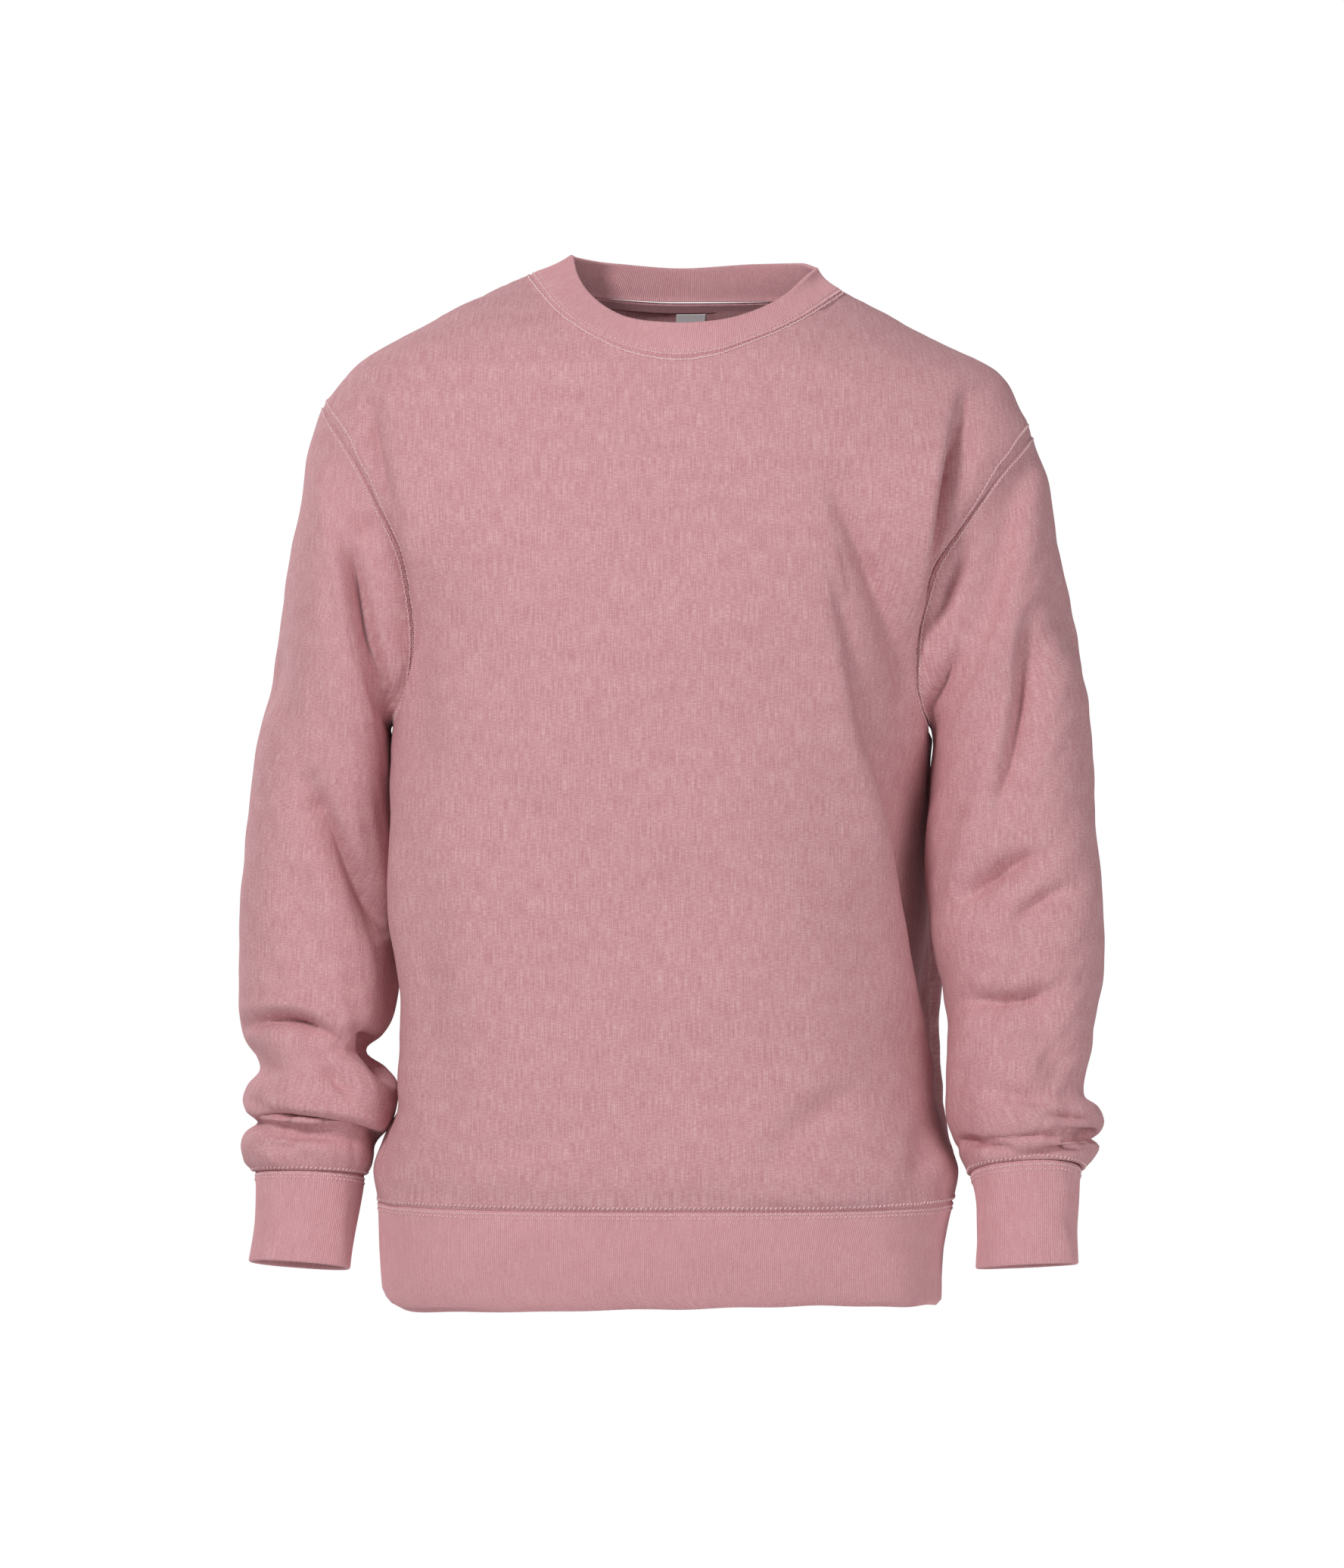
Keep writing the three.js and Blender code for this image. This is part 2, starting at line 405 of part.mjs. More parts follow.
// Normals of a grid. round says that its columns close on themselves; flip turns them to the outside.
function gridNormals(rows, round, flip) {
  const n = rows[0].length;
  return rows.map((row, j) =>
    row.map((_, i) => {
      const before = round ? (i + n - 1) % n : Math.max(0, i - 1);
      const after = round ? (i + 1) % n : Math.min(n - 1, i + 1);
      const across = row[after].clone().sub(row[before]);
      const up = rows[Math.min(rows.length - 1, j + 1)][i].clone().sub(rows[Math.max(0, j - 1)][i]);
      return across.cross(up).normalize().multiplyScalar(flip);
    }),
  );
}

// How far a fold moves a point of the front view in, and 0 away from it.
function foldDepth(fold, x, z) {
  const dx = fold.x1 - fold.x0;
  const dz = fold.z1 - fold.z0;
  const length = Math.hypot(dx, dz);
  const t = clamp(((x - fold.x0) * dx + (z - fold.z0) * dz) / (length * length), 0, 1);
  const bow = fold.bow * 4 * t * (1 - t);
  const along = ((x - fold.x0) * dx + (z - fold.z0) * dz) / length - t * length;
  // For a fold that runs down, a positive aside is towards the wearer's left.
  const aside = ((z - fold.z0) * dx - (x - fold.x0) * dz) / length - bow;
  const reach = aside < 0 ? fold.near : fold.far;
  const fade = Math.sin(Math.PI * clamp(t, 0.02, 0.98)) ** 0.6;
  return fold.depth * fade * Math.exp(-((aside / reach) ** 2) - (along / reach) ** 2);
}

// Moves the points of a grid along its normals by the folds. The seams stay where they are.
function foldGrid(rows, normals, foldsOf, round) {
  const lastRow = rows.length - 1;
  const lastColumn = rows[0].length - 1;
  return rows.map((row, j) =>
    row.map((p, i) => {
      const fromEnd = Math.min(j, lastRow - j);
      const fromSide = round ? EDGE_FADE : Math.min(i, lastColumn - i);
      const hold = smooth(clamp(Math.min(fromEnd, fromSide) / EDGE_FADE, 0, 1));
      const move = foldsOf(p, i).reduce((sum, fold) => sum + foldDepth(fold, p.x, p.z), 0);
      return p.clone().addScaledVector(normals[j][i], -move * hold);
    }),
  );
}

// The armhole as a ring: from the shoulder point down the front to the armpit, and up the back.
function armholeRing(front, back, column) {
  const ring = [];
  for (let k = ARMHOLE_STEPS; k >= 0; k--) ring.push(front[SIDE_STEPS + k][column(front)].clone());
  for (let k = 1; k < ARMHOLE_STEPS; k++) ring.push(back[SIDE_STEPS + k][column(back)].clone());
  return ring;
}

const OVAL = 2.15; // exponent of a sleeve section's outline

function ovalRing(row, count) {
  return Array.from({ length: count }, (_, k) => {
    const a = (2 * Math.PI * k) / count;
    const c = power(Math.cos(a), 2 / OVAL);
    const s = power(Math.sin(a), 2 / OVAL);
    return new THREE.Vector3(
      (row.outX + row.inX) / 2 + ((row.outX - row.inX) / 2) * c,
      row.mid - (s > 0 ? row.front : row.back) * s,
      (row.outZ + row.inZ) / 2 + ((row.outZ - row.inZ) / 2) * c + row.lift * s,
    );
  });
}

// A smooth tube through rings, with steps rows from each ring to the next.
function loft(rings, steps) {
  const rows = [rings[0].map((p) => p.clone())];
  for (let r = 1; r < rings.length; r++) {
    for (let s = 1; s <= steps[r]; s++) {
      rows.push(
        rings[r].map((p, k) => {
          const points = [rings[Math.max(0, r - 2)][k], rings[r - 1][k], p, rings[Math.min(rings.length - 1, r + 1)][k]];
          return new THREE.CatmullRomCurve3(points, false, "centripetal").getPoint((1 + s / steps[r]) / 3);
        }),
      );
    }
  }
  return rows;
}

// The wall pieces, as grids of outer points that still meet exactly at their seams.
const FRONT_COLUMNS = 2 * SHOULDER_STEPS + NECK_FRONT_STEPS;
const BACK_COLUMNS = 2 * SHOULDER_STEPS + NECK_BACK_STEPS;
const FACES_FRONT = 1;
const FACES_BACK = -1;

function folded(rows, folds, flip) {
  return foldGrid(rows, gridNormals(rows, false, flip), () => folds, false);
}

const frontGrid = folded(panelGrid("front", NECK_FRONT_STEPS), FRONT_FOLDS, FACES_FRONT);
const backGrid = folded(panelGrid("back", NECK_BACK_STEPS), BACK_FOLDS, FACES_BACK);

function mirrored(folds) {
  return folds.map((fold) => ({ ...fold, x0: -fold.x0, x1: -fold.x1, bow: -fold.bow, near: fold.far, far: fold.near }));
}

function sleeveGrid(side, sections, frontFolds, backFolds, flip) {
  const column = side === "right" ? () => 0 : (grid) => grid[0].length - 1;
  const first = armholeRing(frontGrid, backGrid, column);
  const rings = [first, ...sections.map((row) => ovalRing(row, first.length))];
  const rows = loft(rings, [0, ...sections.map((row) => row.steps)]);
  const foldsOf = (_, k) => (k > 0 && k < ARMHOLE_STEPS ? frontFolds : k > ARMHOLE_STEPS ? backFolds : []);
  return foldGrid(rows, gridNormals(rows, true, flip), foldsOf, true);
}

const sleeveRightGrid = sleeveGrid("right", SLEEVE_RIGHT, SLEEVE_RIGHT_FRONT_FOLDS, SLEEVE_BACK_FOLDS, FACES_BACK);
const sleeveLeftGrid = sleeveGrid("left", SLEEVE_LEFT, SLEEVE_LEFT_FRONT_FOLDS, mirrored(SLEEVE_BACK_FOLDS), FACES_FRONT);

function cuffGrid(sleeve, sections) {
  const first = sleeve[sleeve.length - 1];
  const rings = [first, ...sections.map((row) => ovalRing(row, first.length))];
  return loft(rings, [0, ...sections.map(() => CUFF_STEPS / sections.length)]);
}

const cuffRightGrid = cuffGrid(sleeveRightGrid, CUFF_RIGHT);
const cuffLeftGrid = cuffGrid(sleeveLeftGrid, CUFF_LEFT);

// The hem's ring of points: along the front from the wearer's right, and back behind.
function hemGrid() {
  const hemAt = columns(HEM, "at");
  const dropAt = through(HEM_DROP, "turn", "drop");
  const ring = [...frontGrid[0], ...backGrid[0].slice(1, -1).reverse()];
  const top = bodyAt(HEM_SEAM_Z);
  return HEM.map(({ at }) =>
    ring.map((p, i) => {
      const face = i <= FRONT_COLUMNS ? "front" : "back";
      const u = face === "front" ? (2 * i) / FRONT_COLUMNS - 1 : 1 - (2 * (i - FRONT_COLUMNS)) / BACK_COLUMNS;
      const turn = turnAt(top, face, u);
      const q = sectionPoint({ ...top, ...hemAt(at) }, p.z - dropAt((turn + 360) % 360) * at, turn);
      return at === 0 ? p.clone() : q;
    }),
  );
}

// The neck's ring of points: the front seam from the wearer's right, then the back seam.
function collarGrid() {
  const top = frontGrid.length - 1;
  const front = frontGrid[top].slice(SHOULDER_STEPS, SHOULDER_STEPS + NECK_FRONT_STEPS + 1);
  const back = backGrid[top].slice(SHOULDER_STEPS + 1, SHOULDER_STEPS + NECK_BACK_STEPS).reverse();
  const ring = [...front, ...back];
  const rows = [];
  for (let j = 0; j <= COLLAR_STEPS; j++) {
    const share = j / COLLAR_STEPS;
    rows.push(
      ring.map((p, i) => {
        const onFront = i <= NECK_FRONT_STEPS;
        const turn = onFront
          ? 180 + (180 * i) / NECK_FRONT_STEPS
          : (180 * (i - NECK_FRONT_STEPS)) / NECK_BACK_STEPS;
        const at = neckAt(turn);
        const q = p.clone().lerp(new THREE.Vector3(at.topX, at.topY, at.topZ), share);
        const lean = -3 * Math.cos(THREE.MathUtils.degToRad(turn)) ** 2 * Math.sin(Math.PI * share);
        const out = new THREE.Vector3(p.x - NECK_CENTRE_X, p.y + 8, 0).normalize();
        return q.addScaledVector(out, lean);
      }),
    );
  }
  return rows;
}

const hem = hemGrid();
const collar = collarGrid();

// Each piece: its grid, whether its columns close, the way its cross product faces, its thickness, and its seam edges.
const PIECES = [
  { name: "front_panel", rows: frontGrid, flip: FACES_FRONT, thick: FLEECE, seams: ["bottom", "top", "start", "end"] },
  { name: "back_panel", rows: backGrid, flip: FACES_BACK, thick: FLEECE, seams: ["bottom", "top", "start", "end"] },
  { name: "sleeve_right", rows: sleeveRightGrid, round: true, flip: FACES_BACK, thick: FLEECE, seams: ["bottom", "top"] },
  { name: "sleeve_left", rows: sleeveLeftGrid, round: true, flip: FACES_FRONT, thick: FLEECE, seams: ["bottom", "top"] },
  { name: "cuff_right", rows: cuffRightGrid, round: true, flip: FACES_BACK, thick: RIB, seams: ["bottom"] },
  { name: "cuff_left", rows: cuffLeftGrid, round: true, flip: FACES_FRONT, thick: RIB, seams: ["bottom"] },
  { name: "hem_band", rows: hem, round: true, flip: FACES_BACK, thick: RIB, seams: ["bottom"] },
  { name: "neck_rib", rows: collar, round: true, flip: FACES_FRONT, thick: RIB, seams: ["bottom"] },
];

const keyOf = (p) => [p.x, p.y, p.z].map((v) => Math.round(v * 1000)).join(",");

// The points of one seam edge, each with its neighbour inside the piece.
function edgePoints(piece, edge) {
  const { rows } = piece;
  const last = rows.length - 1;
  const side = rows[0].length - 1;
  if (edge === "bottom") return rows[0].map((_, i) => ({ j: 0, i, inJ: 1, inI: i }));
  if (edge === "top") return rows[last].map((_, i) => ({ j: last, i, inJ: last - 1, inI: i }));
  const i = edge === "start" ? 0 : side;
  return rows.map((_, j) => ({ j, i, inJ: j, inI: edge === "start" ? 1 : side - 1 }));
}

// Unit vectors from a seam edge into its piece, square to the seam.
function intoPiece(piece, edge) {
  const { rows } = piece;
  const list = edgePoints(piece, edge);
  const closes = piece.round && (edge === "bottom" || edge === "top");
  const at = (e) => rows[e.j][e.i];
  return list.map((e, k) => {
    const n = list.length;
    const before = closes ? (k + n - 1) % n : Math.max(0, k - 1);
    const after = closes ? (k + 1) % n : Math.min(n - 1, k + 1);
    const along = at(list[after]).clone().sub(at(list[before])).normalize();
    const into = rows[e.inJ][e.inI].clone().sub(at(e));
    into.addScaledVector(along, -into.dot(along)).normalize();
    return { ...e, into };
  });
}

// Neighbouring pieces share one normal along their seam, so that their rims stay parallel.
for (const piece of PIECES) {
  piece.normals = gridNormals(piece.rows, piece.round, piece.flip);
  piece.edges = piece.seams.flatMap((edge) => intoPiece(piece, edge));
}
const shared = new Map();
for (const piece of PIECES) {
  for (const e of piece.edges) {
    const key = keyOf(piece.rows[e.j][e.i]);
    if (!shared.has(key)) shared.set(key, { normal: new THREE.Vector3(), into: new THREE.Vector3(), members: [] });
    const entry = shared.get(key);
    entry.normal.add(piece.normals[e.j][e.i]);
    entry.into.add(e.into);
    entry.members.push({ normal: piece.normals[e.j][e.i], into: e.into });
  }
}
for (const entry of shared.values()) {
  // In a valley, such as the armpit, the pieces turn towards each other's outside.
  const [a] = entry.members;
  const facing = entry.members.reduce((sum, b) => sum + a.normal.dot(b.into), 0);
  entry.normal.addScaledVector(entry.into, Math.sign(facing)).normalize();
}

// Outer and inner points of a piece, with its seam edges half a gap in from the seam.
function wallPoints(piece) {
  const outer = piece.rows.map((row) => row.map((p) => p.clone()));
  const moves = piece.normals.map((row) => row.map((n) => n.clone().multiplyScalar(-piece.thick)));
  for (const e of piece.edges) {
    const { normal } = shared.get(keyOf(piece.rows[e.j][e.i]));
    const mitre = 1 / Math.max(0.4, normal.dot(piece.normals[e.j][e.i]));
    moves[e.j][e.i].copy(normal).multiplyScalar(-piece.thick * mitre);
    const into = e.into.clone().addScaledVector(normal, -e.into.dot(normal)).normalize();
    outer[e.j][e.i].addScaledVector(into, SEAM_GAP / 2);
  }
  const inner = outer.map((row, j) => row.map((p, i) => p.clone().add(moves[j][i])));
  return { outer, inner };
}

// A closed wall between two grids of the same size.
function wallGeometry(outer, inner, round, flip) {
  const n = outer[0].length;
  const m = outer.length;
  const points = [...outer.flat(), ...inner.flat()];
  const id = (layer, j, i) => layer * n * m + j * n + (i % n);
  const faces = [];
  const quad = (a, b, c, d) => {
    const [p, q, r, s] = flip > 0 ? [a, b, c, d] : [d, c, b, a];
    const shortFirst = points[p].distanceTo(points[r]) <= points[q].distanceTo(points[s]);
    if (shortFirst) faces.push(p, q, r, p, r, s);
    else faces.push(q, r, s, q, s, p);
  };
  const columnsAround = round ? n : n - 1;
  for (let j = 0; j < m - 1; j++) {
    for (let i = 0; i < columnsAround; i++) {
      quad(id(0, j, i), id(0, j, i + 1), id(0, j + 1, i + 1), id(0, j + 1, i));
      quad(id(1, j, i), id(1, j + 1, i), id(1, j + 1, i + 1), id(1, j, i + 1));
    }
  }
  for (let i = 0; i < columnsAround; i++) {
    quad(id(0, 0, i), id(1, 0, i), id(1, 0, i + 1), id(0, 0, i + 1));
    quad(id(0, m - 1, i), id(0, m - 1, i + 1), id(1, m - 1, i + 1), id(1, m - 1, i));
  }
  for (let j = 0; j < m - 1 && !round; j++) {
    quad(id(0, j, 0), id(0, j + 1, 0), id(1, j + 1, 0), id(1, j, 0));
    quad(id(0, j, n - 1), id(1, j, n - 1), id(1, j + 1, n - 1), id(0, j + 1, n - 1));
  }
  const geometry = new THREE.BufferGeometry();
  geometry.setAttribute("position", new THREE.Float32BufferAttribute(points.flatMap((p) => [p.x, p.y, p.z]), 3));
  geometry.setIndex(faces);
  geometry.computeVertexNormals();
  return geometry;
}

const cloth = (color) => new THREE.MeshStandardMaterial({ color, roughness: 0.95, metalness: 0 });
const MATERIALS = { fleece: cloth(PINK), rib: cloth(PINK_RIB), tape: cloth(PINK_TAPE), label: cloth(WHITE) };

const sweatshirt = new THREE.Group();

function addPiece(name, geometry, material) {
  const mesh = new THREE.Mesh(geometry, material);
  mesh.name = name;
  sweatshirt.add(mesh);
}

for (const piece of PIECES) {
  const { outer, inner } = wallPoints(piece);
  piece.inner = inner;
  const material = piece.thick === RIB ? MATERIALS.rib : MATERIALS.fleece;
  addPiece(piece.name, wallGeometry(outer, inner, piece.round, piece.flip), material);
}

// The tape and the label lie on the inside of the back panel, made from its inner points.
const backPiece = PIECES.find((piece) => piece.name === "back_panel");
const backCurve = (column) => new THREE.CatmullRomCurve3(backPiece.inner.map((row) => row[column]).reverse());

function insidePoint(column, below, lift) {
  const low = Math.floor(column);
  const high = Math.min(low + 1, BACK_COLUMNS);
  const at = (c) => {
    const curve = backCurve(c);
    return curve.getPointAt(below / curve.getLength());
  };
  const p = at(low).lerp(at(high), column - low);
  return p.add(new THREE.Vector3(NECK_CENTRE_X - p.x, -p.y - 30, 0).normalize().multiplyScalar(lift));
}

function insideStrip(columnList, belowList, thick, lift) {
  const rows = belowList.map((below) => columnList.map((column) => insidePoint(column, below, lift)));
  const deep = belowList.map((below) => columnList.map((column) => insidePoint(column, below, lift + thick)));
  return wallGeometry(deep, rows, false, FACES_BACK);
}

const spread = (from, to, steps) => Array.from({ length: steps + 1 }, (_, k) => lerp(from, to, k / steps));
const tapeColumns = spread(SHOULDER_STEPS + 1.5, BACK_COLUMNS - SHOULDER_STEPS - 1.5, 2 * NECK_BACK_STEPS);
addPiece("neck_tape", insideStrip(tapeColumns, spread(1.6, TAPE_WIDTH, 2), TAPE, 0.8), MATERIALS.tape);

const labelMiddle = BACK_COLUMNS / 2;
const columnWidth = backPiece.inner[SIDE_STEPS + ARMHOLE_STEPS][labelMiddle].distanceTo(
  backPiece.inner[SIDE_STEPS + ARMHOLE_STEPS][labelMiddle + 1],
);
const labelHalf = LABEL_WIDTH / 2 / columnWidth;
const labelAt = labelMiddle + LABEL_ASIDE / columnWidth;
const labelColumns = spread(labelAt - labelHalf, labelAt + labelHalf, 4);
const labelDrops = spread(TAPE_WIDTH + 0.4, TAPE_WIDTH + LABEL_LENGTH, 4);
addPiece("neck_label", insideStrip(labelColumns, labelDrops, LABEL, 0.7), MATERIALS.label);

export default sweatshirt;
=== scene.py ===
# %% [markdown]
# # A crewneck sweatshirt
# The solid pieces of this sweatshirt come from CAD, as plain walls of cloth at their real size. Here they get their
# looks: brushed fleece with its folds, rib knit, the cover stitch along the seams, a tape and a label.

# %% Load the solids
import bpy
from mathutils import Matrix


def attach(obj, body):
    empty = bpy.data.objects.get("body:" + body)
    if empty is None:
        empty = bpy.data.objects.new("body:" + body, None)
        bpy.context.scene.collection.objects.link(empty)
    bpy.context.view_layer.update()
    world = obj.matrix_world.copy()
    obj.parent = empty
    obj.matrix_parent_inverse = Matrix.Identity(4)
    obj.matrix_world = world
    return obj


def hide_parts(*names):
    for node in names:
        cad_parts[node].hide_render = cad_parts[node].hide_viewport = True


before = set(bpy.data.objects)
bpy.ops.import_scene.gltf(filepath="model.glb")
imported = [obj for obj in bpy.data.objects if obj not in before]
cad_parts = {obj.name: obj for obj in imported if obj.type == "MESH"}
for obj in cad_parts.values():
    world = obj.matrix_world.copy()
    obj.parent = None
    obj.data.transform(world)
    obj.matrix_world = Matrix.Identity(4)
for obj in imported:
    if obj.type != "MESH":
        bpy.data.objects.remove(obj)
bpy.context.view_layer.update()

# %% Tools for this lesson
import math

import bmesh
import bpy
import numpy as np
from mathutils import Matrix, Vector

MM = 0.001  # the tables below are in millimetres, and a mesh is in metres
rng = np.random.default_rng(7)

# %% [markdown]
# ## The camera
# The photograph looks level at the middle of the garment from the front, like a product shot with a long lens.
# We put the camera 3.6 m away and choose the lens so that the frame takes in a little over a metre in height.

# %% Camera
CAMERA_AWAY = 3600 * MM
CAMERA_X = -1 * MM
CAMERA_Z = -339.7 * MM
FRAME_HEIGHT = 1044.3 * MM  # what the frame takes in at the middle of the garment

camera_data = bpy.data.cameras.new("camera")
camera_data.sensor_width = 36
camera_data.lens = camera_data.sensor_width * CAMERA_AWAY / FRAME_HEIGHT
camera = bpy.data.objects.new("camera", camera_data)
camera.location = (CAMERA_X, -CAMERA_AWAY, CAMERA_Z)
camera.rotation_euler = (math.radians(90), 0, 0)
bpy.context.scene.collection.objects.link(camera)
bpy.context.scene.camera = camera
print("lens", round(camera_data.lens, 1), "mm")

# %% [markdown]
# ## The form of the body
# A filled-out garment has no flat faces, so its form is stated as level sections, from the hem seam to the neck.
# Each section is a box-like oval, and a smooth curve runs through every column of the table. A subdivision surface
# over a rough cage could make it too, but the sections put each seam exactly where the solid has it.

# %% Small helpers for tables and curves
def table(names, rows):
    """Rows of numbers with named columns, as one array for each name."""
    return dict(zip(names.split(), np.array(rows, float).T))


def through(rows, key, column):
    """A smooth curve through a column that doesn't overshoot its rows."""
    xs, ys = rows[key], rows[column]
    slopes = np.diff(ys) / np.diff(xs)
    before, after = slopes[:-1], slopes[1:]
    total = np.where(before * after > 0, before + after, 1)
    inside = np.where(before * after > 0, 2 * before * after / total, 0)
    tangents = np.concatenate([slopes[:1], inside, slopes[-1:]])

    def value(x):
        i = np.clip(np.searchsorted(xs, x) - 1, 0, len(xs) - 2)
        h = xs[i + 1] - xs[i]
        t = np.clip((x - xs[i]) / h, 0, 1)
        rise = ys[i] * (1 + 2 * t) * (1 - t) ** 2 + ys[i + 1] * t**2 * (3 - 2 * t)
        return rise + h * (tangents[i] * t * (1 - t) ** 2 - tangents[i + 1] * t**2 * (1 - t))

    return value


def columns(rows, key):
    """All the curves of a table, as one function that gives them by name."""
    curves = {name: through(rows, key, name) for name in rows}
    return lambda x: {name: curve(np.asarray(x, float)) for name, curve in curves.items()}


def mix(a, b, t):
    return a + (b - a) * t


def smooth(t):
    t = np.clip(t, 0, 1)
    return t * t * (3 - 2 * t)


def ramp(x, start, end):
    return np.clip((x - start) / (end - start), 0, 1)


def power(value, exponent):
    return np.sign(value) * np.abs(value) ** exponent


# %% Body sections
# right and left are the wearer's, at -X and +X. sideR and sideL are the y of the widest points, seamR and seamL
# the y of the side seams, and square the exponent of the front half: 2 is an ellipse, and more is boxier.
body = table(
    "z right left front back sideR sideL seamR seamL square",
    [
        (-616, -196.5, 186, -115, 108, -8, -6, -62, 0, 2.5),
        (-598, -199, 189.5, -121, 114, -10, 2, -50, 4, 2.5),
        (-575, -191, 182, -123, 116, -16, 18, -36, 14, 2.5),
        (-550, -180.5, 176.5, -121, 114, -26, 36, -22, 30, 2.45),
        (-500, -181, 174.5, -118, 111, -34, 58, -8, 48, 2.4),
        (-430, -184, 173.5, -117, 110, -36, 62, 0, 52, 2.4),
        (-350, -185.5, 171, -120, 113, -22, 44, 0, 22, 2.4),
        (-300, -186, 170.5, -121, 117, -6, 9, 0, 0, 2.4),
        (-245, -185, 174, -121, 119, 0, 0, 0, 0, 2.5),
        (-208, -196, 189, -120, 120, 0, 0, 0, 0, 2.4),
        (-167, -215, 217, -115, 119, 0, 0, 0, 0, 2.35),
        (-137, -231, 236, -109, 116, 0, 0, 0, 0, 2.25),
        (-118, -239, 241, -104, 112, 0, 0, 0, 0, 2.2),
        (-107, -238.5, 239, -101, 110, 0, 0, 0, 0, 2.15),
        (-87.5, -233.4, 230, -95, 105, 0, 0, 0, 0, 2.1),
        (-77.5, -226, 224.5, -92, 102, 0, 0, 0, 0, 2.1),
        (-67, -218, 215, -89, 99, 0, 0, 0, 0, 2.05),
        (-57, -206, 199, -85, 95, 0, 0, 0, 0, 2),
        (-47, -188, 178, -79, 91, 0, 0, 0, 0, 2),
        (-37, -167, 157, -72, 85, 0, 0, 0, 0, 2),
        (-27, -149, 140, -63, 78, 0, 0, 0, 0, 2),
        (-17, -130, 122.5, -52, 69, 0, 0, 0, 0, 2),
        (-7, -112, 105, -38, 57, 0, 0, 0, 0, 2),
        (0, -96, 93, -26, 45, 0, 0, 0, 0, 2),
    ],
)
BACK_SQUARE = 2.1
body_at = columns(body, "z")


def side_of(s, on_right, on_back):
    """y of the widest point, the reach from there to the front or back, and the exponent."""
    side = np.where(on_right, s["sideR"], s["sideL"])
    reach = np.where(on_back, s["back"], s["front"]) - side
    return side, reach, np.where(on_back, BACK_SQUARE, s["square"])


def centre_and_half(s):
    return (s["right"] + s["left"]) / 2, (s["left"] - s["right"]) / 2


def depth_at(x, z, face):
    """y of the body form at a point of the front view."""
    s = body_at(z)
    centre, half = centre_and_half(s)
    side, reach, square = side_of(s, x < centre, face == "back")
    out = np.minimum(1, np.abs(x - centre) / half)
    return side + reach * (1 - out**square) ** (1 / square)


def on_section(s, z, turn):
    """A point of a section at a turn in degrees, counted from the wearer's left round the back."""
    c, sn = np.cos(np.radians(turn)), np.sin(np.radians(turn))
    centre, half = centre_and_half(s)
    side, reach, square = side_of(s, c < 0, sn > 0)
    x = centre + half * power(c, 2 / square)
    y = side + reach * np.abs(sn) ** (2 / square)
    return np.stack(np.broadcast_arrays(x, y, z), -1)


def seam_turn(s, on_right):
    """How far round from its widest point, towards the back, a section's side seam lies."""
    y = s["seamR"] if on_right else s["seamL"]
    to_back = y > (s["sideR"] if on_right else s["sideL"])
    side, reach, square = side_of(s, on_right, to_back)
    share = np.clip((y - side) / reach, 0, 1)
    return np.degrees(np.arcsin(share ** (square / 2))) * np.where(to_back, 1, -1)


def turn_at(s, face, u):
    """The turn at u on a panel, which goes from -1 at the wearer's right to 1 at the left."""
    start = 180 - seam_turn(s, True)
    end = (360 if face == "front" else 0) + seam_turn(s, False)
    return mix(start, end, (u + 1) / 2)


def turn_of(x, z, face):
    """The turn at which a point of the front view lies on the form."""
    s = body_at(z)
    centre, half = centre_and_half(s)
    on_right = x < centre
    _, _, square = side_of(s, on_right, face == "back")
    past = np.degrees(np.arccos(np.minimum(1, np.abs(x - centre) / half) ** (square / 2)))
    if face == "front":
        return np.where(on_right, 180 + past, 360 - past)
    return np.where(on_right, 180 - past, past)


# %% [markdown]
# ## Where the pieces are sewn together
# The armholes run from the armpit to the shoulder point, and the neck seam runs all round the neck. Both are
# short tables. The panels, sleeves and collar all read the same tables, so their edges meet.

# %% Armholes and neck
ARMPIT_Z = -300
HEM_SEAM_Z = -616
DIP = 42  # a panel's rows dip between the armpits, so that they meet the armholes squarely
NECK_FAN = 21  # how far a panel's columns spread outward below the neck's corners
NECK_CENTRE_X = 4
armhole = {
    "right": columns(
        table(
            "at z front back",
            [
                (0, ARMPIT_Z, -187, -187),
                (0.12, -285, -181, -179),
                (0.3, -245, -175, -180),
                (0.5, -197, -180, -188),
                (0.7, -150, -198, -206),
                (0.85, -118, -216, -222),
                (0.95, -97, -229, -231),
                (1, -87.5, -233.4, -233.4),
            ],
        ),
        "at",
    ),
    "left": columns(
        table(
            "at z front back",
            [
                (0, ARMPIT_Z, 170, 170),
                (0.12, -286, 165, 168),
                (0.3, -250, 164, 169),
                (0.5, -208, 172, 180),
                (0.7, -167, 194, 200),
                (0.85, -137, 215, 220),
                (0.95, -117, 232, 234),
                (1, -107, 239, 239),
            ],
        ),
        "at",
    ),
}
# By turn in degrees from the wearer's left round the back: the seam's x and z, and the top edge of the rib.
neck_at = columns(
    table(
        "turn seamX seamZ topX topY topZ",
        [
            (0, 113.7, -12, 96, -4, 3.2),
            (30, 99, -12.6, 86, 30, 9),
            (60, 58, -13, 53, 54, 10.3),
            (90, 5, -13, 6, 62, 8.4),
            (120, -46, -10.4, -37, 55, 10.8),
            (150, -82, -5.5, -60, 28, 12),
            (180, -96, 0, -68.5, -4, 12),
            (205, -88, -13, -65, -27, -2),
            (225, -75, -29, -57, -46, -16),
            (250, -44, -50.2, -34, -67, -33.6),
            (260, -20.5, -58.6, -15, -75, -38.3),
            (270, 3, -61.6, 6, -78, -39.6),
            (280, 25, -58.8, 26, -76, -38.1),
            (290, 46, -51.8, 44, -70, -34),
            (315, 79, -37, 73, -53, -19.8),
            (337, 101, -22, 88, -31, -5.6),
            (360, 113.7, -12, 96, -4, 3.2),
        ],
    ),
    "turn",
)

